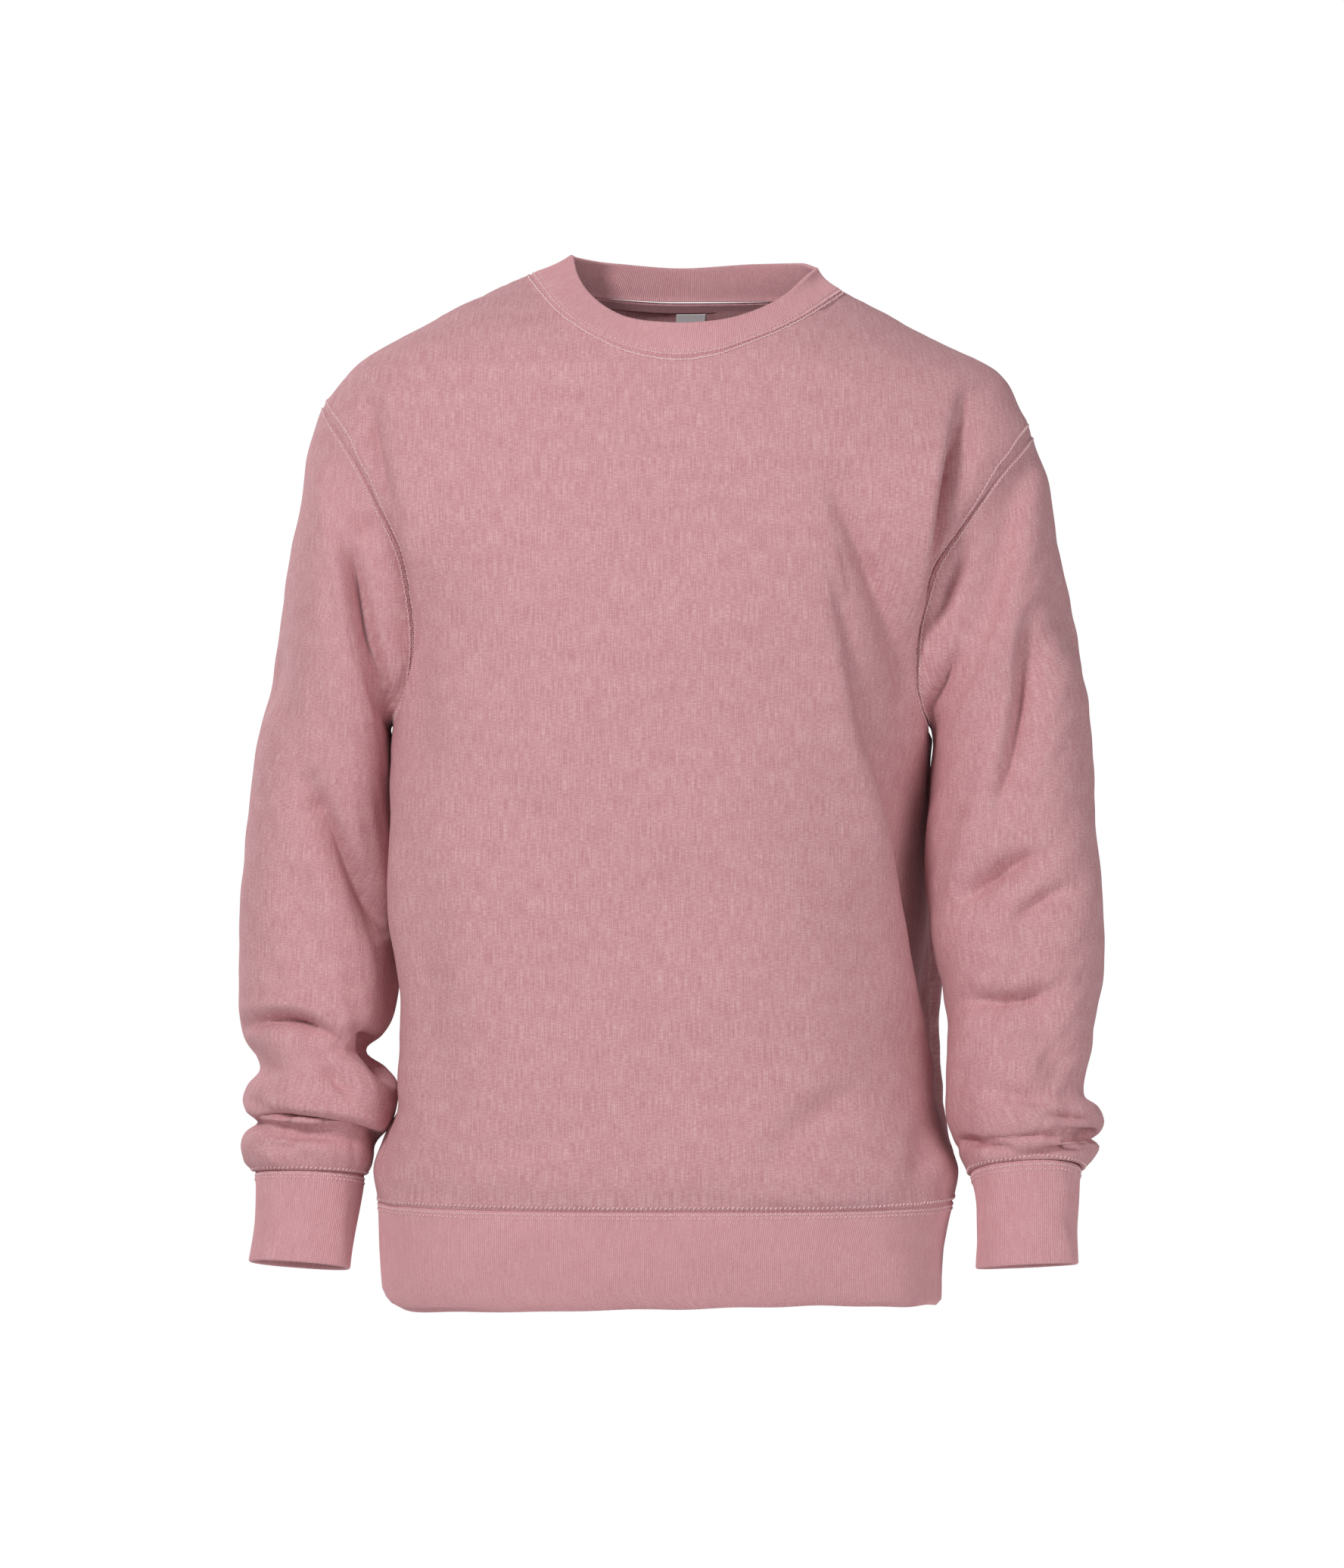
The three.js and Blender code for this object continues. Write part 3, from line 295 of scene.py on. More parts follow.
# %% A body panel as a surface
# A panel's columns are shared out as on the solid: some along each shoulder, and the rest round the neck.
NECK_CORNER = {"front": 1 - 12 / 28, "back": 1 - 12 / 26}  # u where the shoulder seam meets the neck


def panel_top(face, u):
    """x and z of the top edge: along the right shoulder, round the neck, and along the left shoulder."""
    corner = NECK_CORNER[face]
    share = np.clip((u / corner + 1) / 2, 0, 1)
    neck = neck_at(180 + 180 * share if face == "front" else 180 - 180 * share)
    along = np.clip((1 - np.abs(u)) / (1 - corner), 0, 1)
    tip_z = np.where(u < 0, armhole["right"](1)["z"], armhole["left"](1)["z"])
    neck_z = np.where(u < 0, neck_at(180)["seamZ"], neck_at(0)["seamZ"])
    z = mix(tip_z, neck_z, along)
    form = body_at(z)
    x = np.where(u < 0, form["right"], form["left"])
    on_neck = np.abs(u) <= corner
    return np.where(on_neck, neck["seamX"], x), np.where(on_neck, neck["seamZ"], z)


def panel_low(face, u, v):
    """Points between the hem seam, at v = 0, and the armpits, at v = 1."""
    t = v**1.15
    z = mix(mix(HEM_SEAM_Z, ARMPIT_Z - DIP, t), mix(HEM_SEAM_Z, ARMPIT_Z, t), np.abs(u) ** 7)
    s = body_at(z)
    return on_section(s, z, turn_at(s, face, u))


def panel_high(face, u, w):
    """Points between the armpits, at w = 0, and the top edge, at w = 1."""
    right, left = armhole["right"](w), armhole["left"](w)
    tip_right, tip_left = armhole["right"](1), armhole["left"](1)
    arm_x = np.where(u < 0, right[face], left[face])
    arm_z = np.where(u < 0, right["z"], left["z"])
    tip_x = np.where(u < 0, tip_right[face], tip_left[face])
    tip_z = np.where(u < 0, tip_right["z"], tip_left["z"])
    top_x, top_z = panel_top(face, u)
    over_shoulder = smooth((np.abs(u) - 0.05) / 0.75)
    rise = 1 - (1 - w) ** mix(1.25, 1.8, over_shoulder)
    at_edge = arm_z - mix(ARMPIT_Z - DIP, tip_z, 1 - (1 - w) ** 1.8)
    z = mix(ARMPIT_Z - DIP, top_z, rise) + at_edge * np.abs(u) ** 7
    form = body_at(z)
    turns = [turn_of(arm[face], arm["z"], face) for arm in (right, left)]
    armpits = [turn_of(arm(0)[face], arm(0)["z"], face) for arm in armhole.values()]
    joint = turn_at(body_at(mix(ARMPIT_Z - DIP, ARMPIT_Z, np.abs(u) ** 7)), face, u)
    shift = (joint - mix(*armpits, (u + 1) / 2)) * (1 - np.abs(u) ** 8)
    by_turn = on_section(form, z, mix(*turns, (u + 1) / 2) + shift)[..., 0]
    armpit = body_at(ARMPIT_Z)
    middle = mix((armpit["right"] + armpit["left"]) / 2, NECK_CENTRE_X, w)
    by_share = middle + (arm_x - middle) * (top_x - NECK_CENTRE_X) / (tip_x - NECK_CENTRE_X)
    width = np.where(w < 0.58, 0.19, 0.26)
    fan = NECK_FAN * np.exp(-(((w - 0.58) / width) ** 2)) * np.minimum(1, (1 - w) / 0.03)
    fan = fan * np.exp(-(((np.abs(u) - NECK_CORNER[face]) / 0.24) ** 2)) * (1 - ramp(np.abs(u), 0.9, 1))
    x = mix(by_turn, by_share, smooth(1.5 * w)) + np.sign(u) * fan
    inside = ramp(w, 0.46, 0.54) * (1 - ramp(w, 0.92, 1)) * (1 - ramp(np.abs(u), 0.93, 1))
    centre, half = centre_and_half(form)
    half = half * (1 - 0.015 * inside)
    x = np.clip(x, centre - half, centre + half)
    return np.stack([x, depth_at(x, z, face), z], -1)


def panel_surface(face, u, v):
    """Points of a body panel. v goes from 0 at the hem seam through 1 at the armpits to 2 at the top."""
    u, v = np.broadcast_arrays(u, v)
    low = panel_low(face, u, np.clip(v, 0, 1))
    high = panel_high(face, u, np.clip(v - 1, 0, 1))
    return np.where((v < 1)[..., None], low, high)


# %% [markdown]
# ## Sleeves, cuffs and hem
# A sleeve starts at its armhole and then passes through ovals, each tilted as an arm that hangs. The last few,
# above the cuff, change size quickly: there the extra length of the sleeve piles up in soft rolls.

# %% Sleeve and cuff sections
# out is the outer point and in the inner one. mid is the middle in y, front and back the reaches from there, and
# lift raises the front. The last three rows of each sleeve's tables are the cuff.
SLEEVE_NAMES = "outX outZ inX inZ mid front back lift"
sleeve_sections = {
    "right": [
        (-241, -113, -189, -304, 1, 69, 67, 0),
        (-250.5, -161, -187.5, -313, 4, 71, 69, 0),
        (-258.5, -213.5, -186.5, -328, 8, 70, 68, 0),
        (-269, -271, -184.5, -348, 12, 66, 65, 0),
        (-280, -324, -183.5, -369, 14, 62, 62, 0),
        (-286, -375, -183, -394, 14, 60, 60, 0),
        (-288, -420, -183, -426.5, 11, 58, 58, 1),
        (-288, -458, -183.5, -461, 6, 56, 57, 2),
        (-288, -489, -186, -493, 1, 55, 56, 3),
        (-285, -508, -194, -508, -2, 52, 54, 3),
        (-277.5, -521, -203, -517, -4, 49, 50, 3),
        (-275.5, -529.5, -190.5, -527.5, -5, 50, 50, 2),
        (-283.5, -539.5, -183, -538.5, -6, 53, 54, 1),
        (-287, -550.5, -184, -554.5, -8, 54, 54, -1),
        (-282.5, -559, -189, -567.5, -9, 51, 50, -2),
        (-276, -564.5, -196.5, -575.5, -10, 43, 43, 2),
        (-283, -571.5, -199, -580.5, -11, 45, 46, 3),
        (-285, -579, -199.5, -586, -12, 45, 46, 4),
        (-282, -590, -201.5, -593, -13, 41, 42, 5),
        (-278, -598, -204.5, -600, -14, 36, 36, 5),
    ],
    "left": [
        (246, -131, 172.5, -304, 1, 69, 67, 0),
        (255, -176, 173.5, -313, 3, 71, 69, 0),
        (265.5, -223, 172.5, -327, 6, 69, 69, 0),
        (273, -269, 171.5, -344, 1, 66, 66, 0),
        (278, -315, 170, -364, -3, 62, 63, 2),
        (280.5, -360, 168, -388, -8, 59, 60, 4),
        (283, -402, 168.5, -415.5, -12, 57, 58, 6),
        (284, -439.5, 170, -446.5, -16, 56, 57, 8),
        (283, -470.5, 177, -473.5, -20, 54, 56, 9),
        (279.5, -500, 180, -501, -24, 52, 54, 9),
        (274, -524.5, 180, -525.5, -28, 50, 52, 9),
        (269.5, -540.5, 180.5, -544.5, -30, 48, 50, 9),
        (270.5, -548, 181.5, -554, -31, 49, 49, 8),
        (278.5, -554, 182.5, -562, -32, 50, 49, 7),
        (282.5, -562.5, 184.5, -569, -33, 49, 48, 7),
        (280, -569.5, 186.5, -575, -34, 46, 45, 7),
        (274.5, -573, 188.5, -578.5, -35, 41, 41, 8),
        (280.5, -578.5, 188.5, -583.5, -36, 43, 43, 9),
        (277.5, -586.5, 190.5, -589.5, -37, 41, 41, 10),
        (269, -594, 195, -597, -38, 36, 36, 10),
    ],
}
cuff_sections = {
    "right": [
        (-277, -607, -206.5, -610, -15, 33.5, 33.5, 6),
        (-277, -631.5, -211, -634.5, -18, 31.5, 31.5, 6),
        (-281, -654.5, -214, -659.5, -21, 31.5, 31.5, 5),
    ],
    "left": [
        (267.5, -602, 198, -605, -39, 33.5, 33.5, 8),
        (265.5, -628.5, 200, -631.5, -42, 31.5, 31.5, 6),
        (266.5, -654, 199.5, -657, -46, 31.5, 31.5, 4),
    ],
}
OVAL = 2.15  # exponent of a sleeve section's outline


def armhole_ring(side, share):
    """The armhole at shares from the shoulder point, down the front to the armpit, and up the back."""
    u = -1.0 if side == "right" else 1.0
    on_front = share < 0.5
    w = np.where(on_front, 1 - 2 * share, 2 * share - 1)
    front, back = panel_high("front", u, w), panel_high("back", u, w)
    return np.where(on_front[..., None], front, back)


def oval_ring(row, share):
    o = dict(zip(SLEEVE_NAMES.split(), row))
    c = power(np.cos(2 * np.pi * share), 2 / OVAL)
    s = power(np.sin(2 * np.pi * share), 2 / OVAL)
    x = mix(o["inX"], o["outX"], (c + 1) / 2)
    y = o["mid"] - np.where(s > 0, o["front"], o["back"]) * s
    z = mix(o["inZ"], o["outZ"], (c + 1) / 2) + o["lift"] * s
    return np.stack([x, y, z], -1)


def between(p0, p1, p2, p3, t):
    """The stretch from p1 to p2 of a centripetal Catmull-Rom curve."""
    gaps = [np.sqrt(np.linalg.norm(b - a, axis=-1, keepdims=True)) for a, b in ((p0, p1), (p1, p2), (p2, p3))]
    middle = gaps[1]
    first = np.where(gaps[0] < 1e-4, middle, gaps[0])
    last = np.where(gaps[2] < 1e-4, middle, gaps[2])
    start = middle * ((p1 - p0) / first - (p2 - p0) / (first + middle) + (p2 - p1) / middle)
    end = middle * ((p2 - p1) / middle - (p3 - p1) / (middle + last) + (p3 - p2) / last)
    ease = 3 * t**2 - 2 * t**3
    return mix(p1, p2, ease) + start * t * (1 - t) ** 2 - end * t**2 * (1 - t)


def loft(rings, spacing):
    """Rows of points about spacing apart through rings of points."""
    rows = [rings[0]]
    for r in range(1, len(rings)):
        four = [rings[max(0, r - 2)], rings[r - 1], rings[r], rings[min(len(rings) - 1, r + 1)]]
        length = np.linalg.norm(four[2] - four[1], axis=-1).mean()
        steps = max(2, round(length / spacing))
        rows += [between(*four, (s + 1) / steps) for s in range(steps)]
    return np.array(rows)


def sleeve_surface(side, share, spacing):
    rings = [armhole_ring(side, share)] + [oval_ring(row, share) for row in sleeve_sections[side]]
    return loft(rings, spacing)


def cuff_surface(side, share, spacing):
    rings = [oval_ring(row, share) for row in sleeve_sections[side][-1:] + cuff_sections[side]]
    return loft(rings, spacing)


# %% Hem sections
# The hem rib's section at shares of the way down from its seam, and how far it hangs below the seam by turn.
hem_at = columns(
    table(
        "at right left front back",
        [
            (0, -196.5, 186, -115, 108),
            (0.25, -195, 181.5, -113, 106),
            (0.55, -194.3, 178.5, -110, 104),
            (0.82, -193.5, 178.5, -105.5, 102),
            (0.95, -188, 178, -102, 100),
            (1, -181, 175, -100, 98),
        ],
    ),
    "at",
)
hem_drop = columns(
    table(
        "turn drop",
        [(0, 69), (90, 71), (180, 71), (225, 68), (260, 64.5), (290, 62), (330, 65), (360, 69)],
    ),
    "turn",
)


def hem_surface(share, at):
    """Points of the hem, from the wearer's right along the front (share 0 to 0.5) and back behind."""
    top = body_at(HEM_SEAM_Z)
    on_front = share < 0.5
    u = np.where(on_front, 4 * share - 1, 3 - 4 * share)
    turn = np.where(on_front, turn_at(top, "front", u), turn_at(top, "back", u))
    drop = hem_drop(turn % 360)["drop"]
    section = {**top, **hem_at(at)}
    return on_section(section, HEM_SEAM_Z - drop * at, turn)


def collar_surface(turn, share):
    """Points of the neck rib at a turn, from its seam at share 0 to its top edge at share 1."""
    at = neck_at(turn)
    on_front = turn >= 180
    y = np.where(on_front, depth_at(at["seamX"], at["seamZ"], "front"), depth_at(at["seamX"], at["seamZ"], "back"))
    seam = np.stack([at["seamX"], y, at["seamZ"]], -1)
    top = np.stack([at["topX"], at["topY"], at["topZ"]], -1)
    lean = -3 * np.cos(np.radians(turn)) ** 2 * np.sin(np.pi * share)
    out = np.stack([seam[..., 0] - NECK_CENTRE_X, seam[..., 1] + 8, 0 * y], -1)
    out /= np.linalg.norm(out, axis=-1, keepdims=True)
    return mix(seam, top, share) + lean[..., None] * out


# %% [markdown]
# ## Folds
# A fold is a soft trough pressed into the cloth along a line, or a ridge where its depth is below zero. The lines
# were placed from the front view. Drawing them as formulas keeps the sewn edges in place, which a
# simulation of the whole garment on no wearer would not.

# %% Folds
# Each runs from one point of the front view to another, and bow moves its middle: to the wearer's left on a fold
# that runs down, and up on one that runs to the left. near and far are how far it spreads to its two sides, far
# being the side that bow points to. sharp is 2 for a round trough and less for a crease.
FOLD_NAMES = "x0 z0 x1 z1 bow near far depth sharp"


def fold_depth(folds, x, z):
    """How far in the folds move a point of the front view, all together."""
    total = np.zeros(np.shape(x))
    for x0, z0, x1, z1, bow, near, far, depth, sharp in folds:
        dx, dz = x1 - x0, z1 - z0
        length = math.hypot(dx, dz)
        reached = ((x - x0) * dx + (z - z0) * dz) / length
        t = np.clip(reached / length, 0, 1)
        along = reached - t * length
        aside = ((z - z0) * dx - (x - x0) * dz) / length - bow * 4 * t * (1 - t)
        reach = np.where(aside < 0, near, far)
        fade = np.sin(np.pi * np.clip(t, 0.02, 0.98)) ** 0.6
        total += depth * fade * np.exp(-np.abs(aside / reach) ** sharp - (along / reach) ** 2)
    return total


def seen(points):
    """x and z of points as the camera sees them, at the garment's middle."""
    away = CAMERA_AWAY / MM
    scale = away / (away + points[..., 1])
    x, z = CAMERA_X / MM, CAMERA_Z / MM
    return x + (points[..., 0] - x) * scale, z + (points[..., 2] - z) * scale


def mirrored(folds):
    """The same folds on the other side of the garment."""
    return [(-x0, z0, -x1, z1, -bow, far, near, depth, sharp) for x0, z0, x1, z1, bow, near, far, depth, sharp in folds]


# The large folds are those of the solids.
front_folds = [
    (198, -84, 166, -236, -5, 8, 18, 15, 2),
    (184, -100, 152, -262, -4, 22, 8, -8, 2),
    (112, -128, 168, -290, 2, 22, 12, 8, 2),
    (116, -226, 176, -500, 4, 13, 38, 12, 2),
    (106, -236, 172, -545, 8, 24, 9, -7, 2),
    (-190, -110, -182, -285, 0, 8, 22, -8, 2),
    (170, -545, 158, -616, 0, 10, 12, 6, 2),
]
back_folds = [
    (188, -120, 150, -300, -5, 20, 14, 7, 2),
    (-192, -112, -152, -310, 6, 14, 20, 8, 2),
    (-120, -330, -168, -560, -10, 22, 22, 7, 2),
    (96, -300, 148, -540, 8, 20, 24, 7, 2),
    (-100, -440, 96, -452, 14, 26, 20, 5, 2),
]
sleeve_front_folds = {
    "right": [
        (-219, -168, -196, -300, 0, 10, 16, 9, 2),
        (-240, -345, -188, -445, 3, 14, 9, 9, 2),
        (-289, -499, -226, -512, 11, 7, 6, 5, 2),
        (-280, -570, -194, -574, 4, 5, 4, 5, 2),
    ],
    "left": [
        (238, -128, 206, -244, -2, 15, 13, 6, 2),
        (240, -226, 216, -352, 4, 10, 14, 7, 2),
        (200, -200, 182, -300, 0, 10, 10, 5, 2),
        (186, -418, 238, -384, 1, 12, 12, 6, 2),
        (190, -482, 262, -472, -7, 12, 9, 6, 2),
        (198, -578, 284, -582, -5, 5, 5, 4, 2),
    ],
}
sleeve_back_folds = [
    (-222, -190, -252, -330, -6, 14, 14, 6, 2),
    (-280, -352, -200, -386, 8, 12, 10, 8, 2),
    (-198, -446, -278, -430, 6, 12, 12, 6, 2),
    (-286, -528, -200, -540, -4, 7, 7, 6, 2),
]
# The finer ones lie where the camera sees them, and are in the visible cloth alone.
CREASE_DEPTH = 2.0  # all of them are this much deeper than their tables say
front_creases = [
    (197, -82, 172, -275, -5, 5, 2.4, 6, 1.3),
    (187, -96, 162, -262, -5, 7, 6, -2.2, 2),
    (106, -140, 166, -290, 5, 7, 5, 4.2, 1.6),
    (110, -206, 131, -326, 1, 6, 7, 2.6, 1.8),
    (-205, -82, -186, -156, -4, 4, 6, 3.6, 1.6),
    (-187, -320, -184, -505, 0, 9, 9, -1.8, 2),
    (118, -262, 176, -545, 10, 4, 9, 4.5, 1.5),
    (-176, -190, -170, -330, 2, 9, 12, 2.2, 2),
    (60, -596, 130, -540, 6, 14, 10, 2.5, 2),
    (-150, -600, -60, -570, 5, 12, 9, 2, 2),
    (-40, -100, 60, -104, -9, 10, 14, 1.6, 2),
    (-168, -420, -150, -560, -5, 14, 16, 2.5, 2),
]
back_creases = [
    (-60, -70, 70, -72, -12, 12, 14, 2.2, 2),
    (169, -312, 176, -596, 0, 8, 12, -3.6, 2),
    (-168, -190, -120, -330, -5, 9, 12, 3.5, 1.7),
    (150, -210, 104, -340, 5, 12, 9, 3, 1.7),
    (-150, -560, -30, -520, 8, 13, 10, 3, 2),
    (40, -600, 150, -530, 9, 14, 12, 3, 2),
    (-70, -360, 60, -372, 10, 20, 16, 2.5, 2),
]
sleeve_creases = {
    "right": [
        (-217, -174, -186, -296, 0, 5.5, 2.2, 8.5, 1.25),
        (-228, -176, -199, -304, 0, 8, 6, -3.6, 2),
        (-210, -156, -201, -180, -1, 5, 5, 3, 2),
        (-238, -348, -188, -436, 1, 7, 4, 5.5, 1.4),
        (-246, -330, -236, -362, 3, 10, 8, 2.5, 2),
        (-288, -502, -222, -511, 9, 3, 3.6, 6.5, 1.3),
        (-284, -490, -224, -500, 9, 6, 5, -2, 2),
        (-210, -505, -180, -540, 0, 6, 6, 7, 1.7),
        (-234, -528, -212, -549, 2, 5, 6, 3.5, 2),
        (-288, -548, -250, -560, -3, 5, 5, 2.5, 2),
        (-282, -563, -190, -577, 4, 2.4, 3.2, 7.5, 1.25),
        (-280, -556, -196, -566, 5, 4, 5, -2.4, 2),
        (-282, -579, -250, -583, 0, 3, 3, 2, 2),
        (-262, -390, -240, -470, 6, 14, 12, 2.5, 2),
        (-270, -220, -262, -300, -3, 12, 10, 2.5, 2),
    ],
    "left": [
        (237, -122, 206, -256, -4, 12, 9, 3, 2),
        (237, -226, 214, -358, 5, 4.5, 7, 5.5, 1.5),
        (192, -186, 174, -232, 0, 3.5, 3.5, 4, 1.5),
        (189, -250, 168, -300, 0, 3.5, 3.5, 4.5, 1.5),
        (186, -420, 248, -385, 3, 5, 6, 5, 1.5),
        (226, -432, 266, -408, 2, 6, 6, 3.8, 1.7),
        (192, -484, 252, -478, -3, 4.5, 5, 5.5, 1.4),
        (206, -544, 250, -551, 0, 5, 6, 3, 2),
        (246, -561, 284, -565, 2, 3, 4, 3.5, 1.6),
        (284, -573, 258, -576, 0, 3, 3, 5, 1.4),
        (284, -581, 228, -588, 1, 3, 3.2, 5, 1.4),
        (184, -578, 228, -584, 2, 3, 3, 3.5, 1.5),
        (258, -196, 274, -260, -3, 9, 9, 2.5, 2),
        (236, -500, 262, -540, 3, 12, 10, 2.5, 2),
    ],
}
sleeve_back_creases = [
    (-214, -170, -190, -296, 2, 5, 7, 5, 1.5),
    (-268, -232, -236, -352, -4, 8, 6, 3.5, 1.7),
    (-272, -398, -196, -412, 6, 7, 6, 4.5, 1.6),
    (-282, -494, -204, -506, -6, 4, 5, 5, 1.5),
    (-284, -560, -196, -572, 4, 3, 3.4, 5, 1.4),
    (-240, -470, -206, -520, 4, 8, 7, 3, 2),
]
print(sum(len(f) for f in (front_folds, back_folds, front_creases, back_creases)), "folds in the body")

# %% [markdown]
# ## Cloth from a grid
# Every cloth piece is a grid of squares whose rows and columns are moved onto its surface. The UV map keeps the
# distance along the cloth in both directions, in metres, so that the knit runs as it does on the real cut.
# Unwrapping a finished mesh would lose the direction of the knit.

# %% Grid helpers
def across_and_up(points):
    """Distances in millimetres along the rows from the middle column, and along the columns from the first row."""
    step_across = np.linalg.norm(np.diff(points[..., :2], axis=1), axis=-1)
    across = np.concatenate([np.zeros((len(points), 1)), np.cumsum(step_across, axis=1)], axis=1)
    across -= across[:, points.shape[1] // 2][:, None]
    step_up = np.linalg.norm(np.diff(points[..., 1:], axis=0), axis=-1)
    up = np.concatenate([np.zeros((1, points.shape[1])), np.cumsum(step_up, axis=0)], axis=0)
    return across, up


def normals_of(points, outward):
    """Unit normals of a grid of points. outward is 1 or -1, to turn them to the outside."""
    n = np.cross(np.gradient(points, axis=1), np.gradient(points, axis=0)) * outward
    length = np.linalg.norm(n, axis=-1, keepdims=True)
    return n / np.maximum(length, 1e-9)


def ring_normals(points, outward):
    """The same for a tube, whose last column repeats its first."""
    wrapped = np.concatenate([points[:, -2:-1], points, points[:, 1:2]], axis=1)
    return normals_of(wrapped, outward)[:, 1:-1]


def with_ends(count, ends, start=0.0, end=1.0):
    """Even steps from start to end, with extra ones close to both ends."""
    even = np.linspace(start, end, count + 1)
    close = np.array(ends) * (end - start)
    return np.unique(np.concatenate([even, start + close, end - close]).round(6))


def new_mesh(name, points, uv, ring=False, section=False):
    """A grid mesh with its points in millimetres. ring joins the last column to the first, section the rows."""
    rows, cols = points.shape[:2]
    bm = bmesh.new()
    bmesh.ops.create_grid(bm, x_segments=cols - 1, y_segments=rows - 1, size=1)
    mesh = bpy.data.meshes.new(name)
    bm.to_mesh(mesh)
    bm.free()
    flat = np.empty(len(mesh.vertices) * 3)
    mesh.vertices.foreach_get("co", flat)
    at = flat.reshape(-1, 3)
    column = np.rint((at[:, 0] + 1) / 2 * (cols - 1)).astype(int)
    row = np.rint((at[:, 1] + 1) / 2 * (rows - 1)).astype(int)
    corner = np.empty(len(mesh.loops), dtype=np.int32)
    mesh.loops.foreach_get("vertex_index", corner)
    layer = mesh.uv_layers.new(name="cut") if not mesh.uv_layers else mesh.uv_layers[0]
    layer.name = "cut"
    layer.data.foreach_set("uv", (uv[row, column][corner] * MM).ravel())
    mesh.vertices.foreach_set("co", (points[row, column] * MM).ravel())
    mesh.update()
    bm = bmesh.new()
    bm.from_mesh(mesh)
    if ring or section:
        bmesh.ops.remove_doubles(bm, verts=bm.verts, dist=1e-6)
    bmesh.ops.recalc_face_normals(bm, faces=bm.faces)
    bm.to_mesh(mesh)
    bm.free()
    mesh.polygons.foreach_set("use_smooth", np.ones(len(mesh.polygons), dtype=bool))
    mesh.update()
    return mesh


def face_out(mesh, away_from):
    """Turns an open sheet round if its faces look towards the points of away_from's axis instead of outward."""
    count = len(mesh.polygons)
    centre, normal = np.empty(count * 3), np.empty(count * 3)
    mesh.polygons.foreach_get("center", centre)
    mesh.polygons.foreach_get("normal", normal)
    out = (centre.reshape(-1, 3) - away_from) * normal.reshape(-1, 3)
    if out[:, :2].sum() < 0:
        mesh.flip_normals()


def add_piece(name, mesh, material, node=None):
    """Puts a mesh in the scene as a piece that rides on the garment."""
    piece = bpy.data.objects.new(name, mesh)
    bpy.context.scene.collection.objects.link(piece)
    mesh.materials.append(material)
    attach(piece, "root")
    if node:
        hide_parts(node)
    print(name, "faces:", len(mesh.polygons))
    return piece


def thicken(piece, thickness):
    wall = piece.modifiers.new("cloth thickness", "SOLIDIFY")
    wall.thickness = thickness * MM
    wall.offset = -1
    wall.use_even_offset = False
    return wall


# %% Unevenness of cloth
def unevenness(a, b, seed, size, height):
    """Soft hollows and swells about size across, from a few waves in random directions."""
    draw = np.random.default_rng(seed)
    total = np.zeros(np.broadcast_shapes(np.shape(a), np.shape(b)))
    for _ in range(9):
        heading, phase = draw.uniform(0, 2 * np.pi, 2)
        length = size * draw.uniform(0.7, 1.9)
        total += np.sin(2 * np.pi * (a * np.cos(heading) + b * np.sin(heading)) / length + phase)
    return height * total / 3


def pucker(along, away, seed):
    """Small waves that the stitches draw into the cloth beside a seam."""
    draw = np.random.default_rng(seed)
    waves = sum(
        np.sin(2 * np.pi * along / length + phase)
        for length, phase in zip((9.0, 13.7, 21.1), draw.uniform(0, 6, 3))
    )
    return -0.16 * waves * np.exp(-away / 7) * (1 - np.exp(-away / 1.5))


SEAM_SUNK = 1.1  # how deep a seam lies below the cloth beside it
ARMHOLE_SUNK = 5.0  # how much deeper an armhole lies where the body's front edge bulges over it


def seam_dip(away):
    return SEAM_SUNK * np.exp(-((away / 1.9) ** 2))


def armhole_dip(z, away):
    """The lower half of an armhole is drawn in, between the body and the sleeve."""
    lower = smooth((z + 298) / 26) * (1 - smooth((z + 205) / 55))
    return seam_dip(away) + ARMHOLE_SUNK * lower * np.exp(-((away / 5.5) ** 2))


# %% [markdown]
# ## Knit materials
# All the cloth is the same heather pink yarn. On the fleece we see fine upright wales with short lighter and
# darker flecks. The ribs have real ridges, and their grooves also get a little painted shade in their colour. Noise on
# a UV map in metres gives the right scale everywhere; a photograph of cloth would repeat and carry its own light.

# %% Material helpers
def srgb(r, g, b):
    """A colour given as 0 to 255 in sRGB, as the linear value that a shader takes."""
    def linear(c):
        c /= 255
        return c / 12.92 if c <= 0.04045 else ((c + 0.055) / 1.055) ** 2.4
    return (linear(r), linear(g), linear(b), 1)


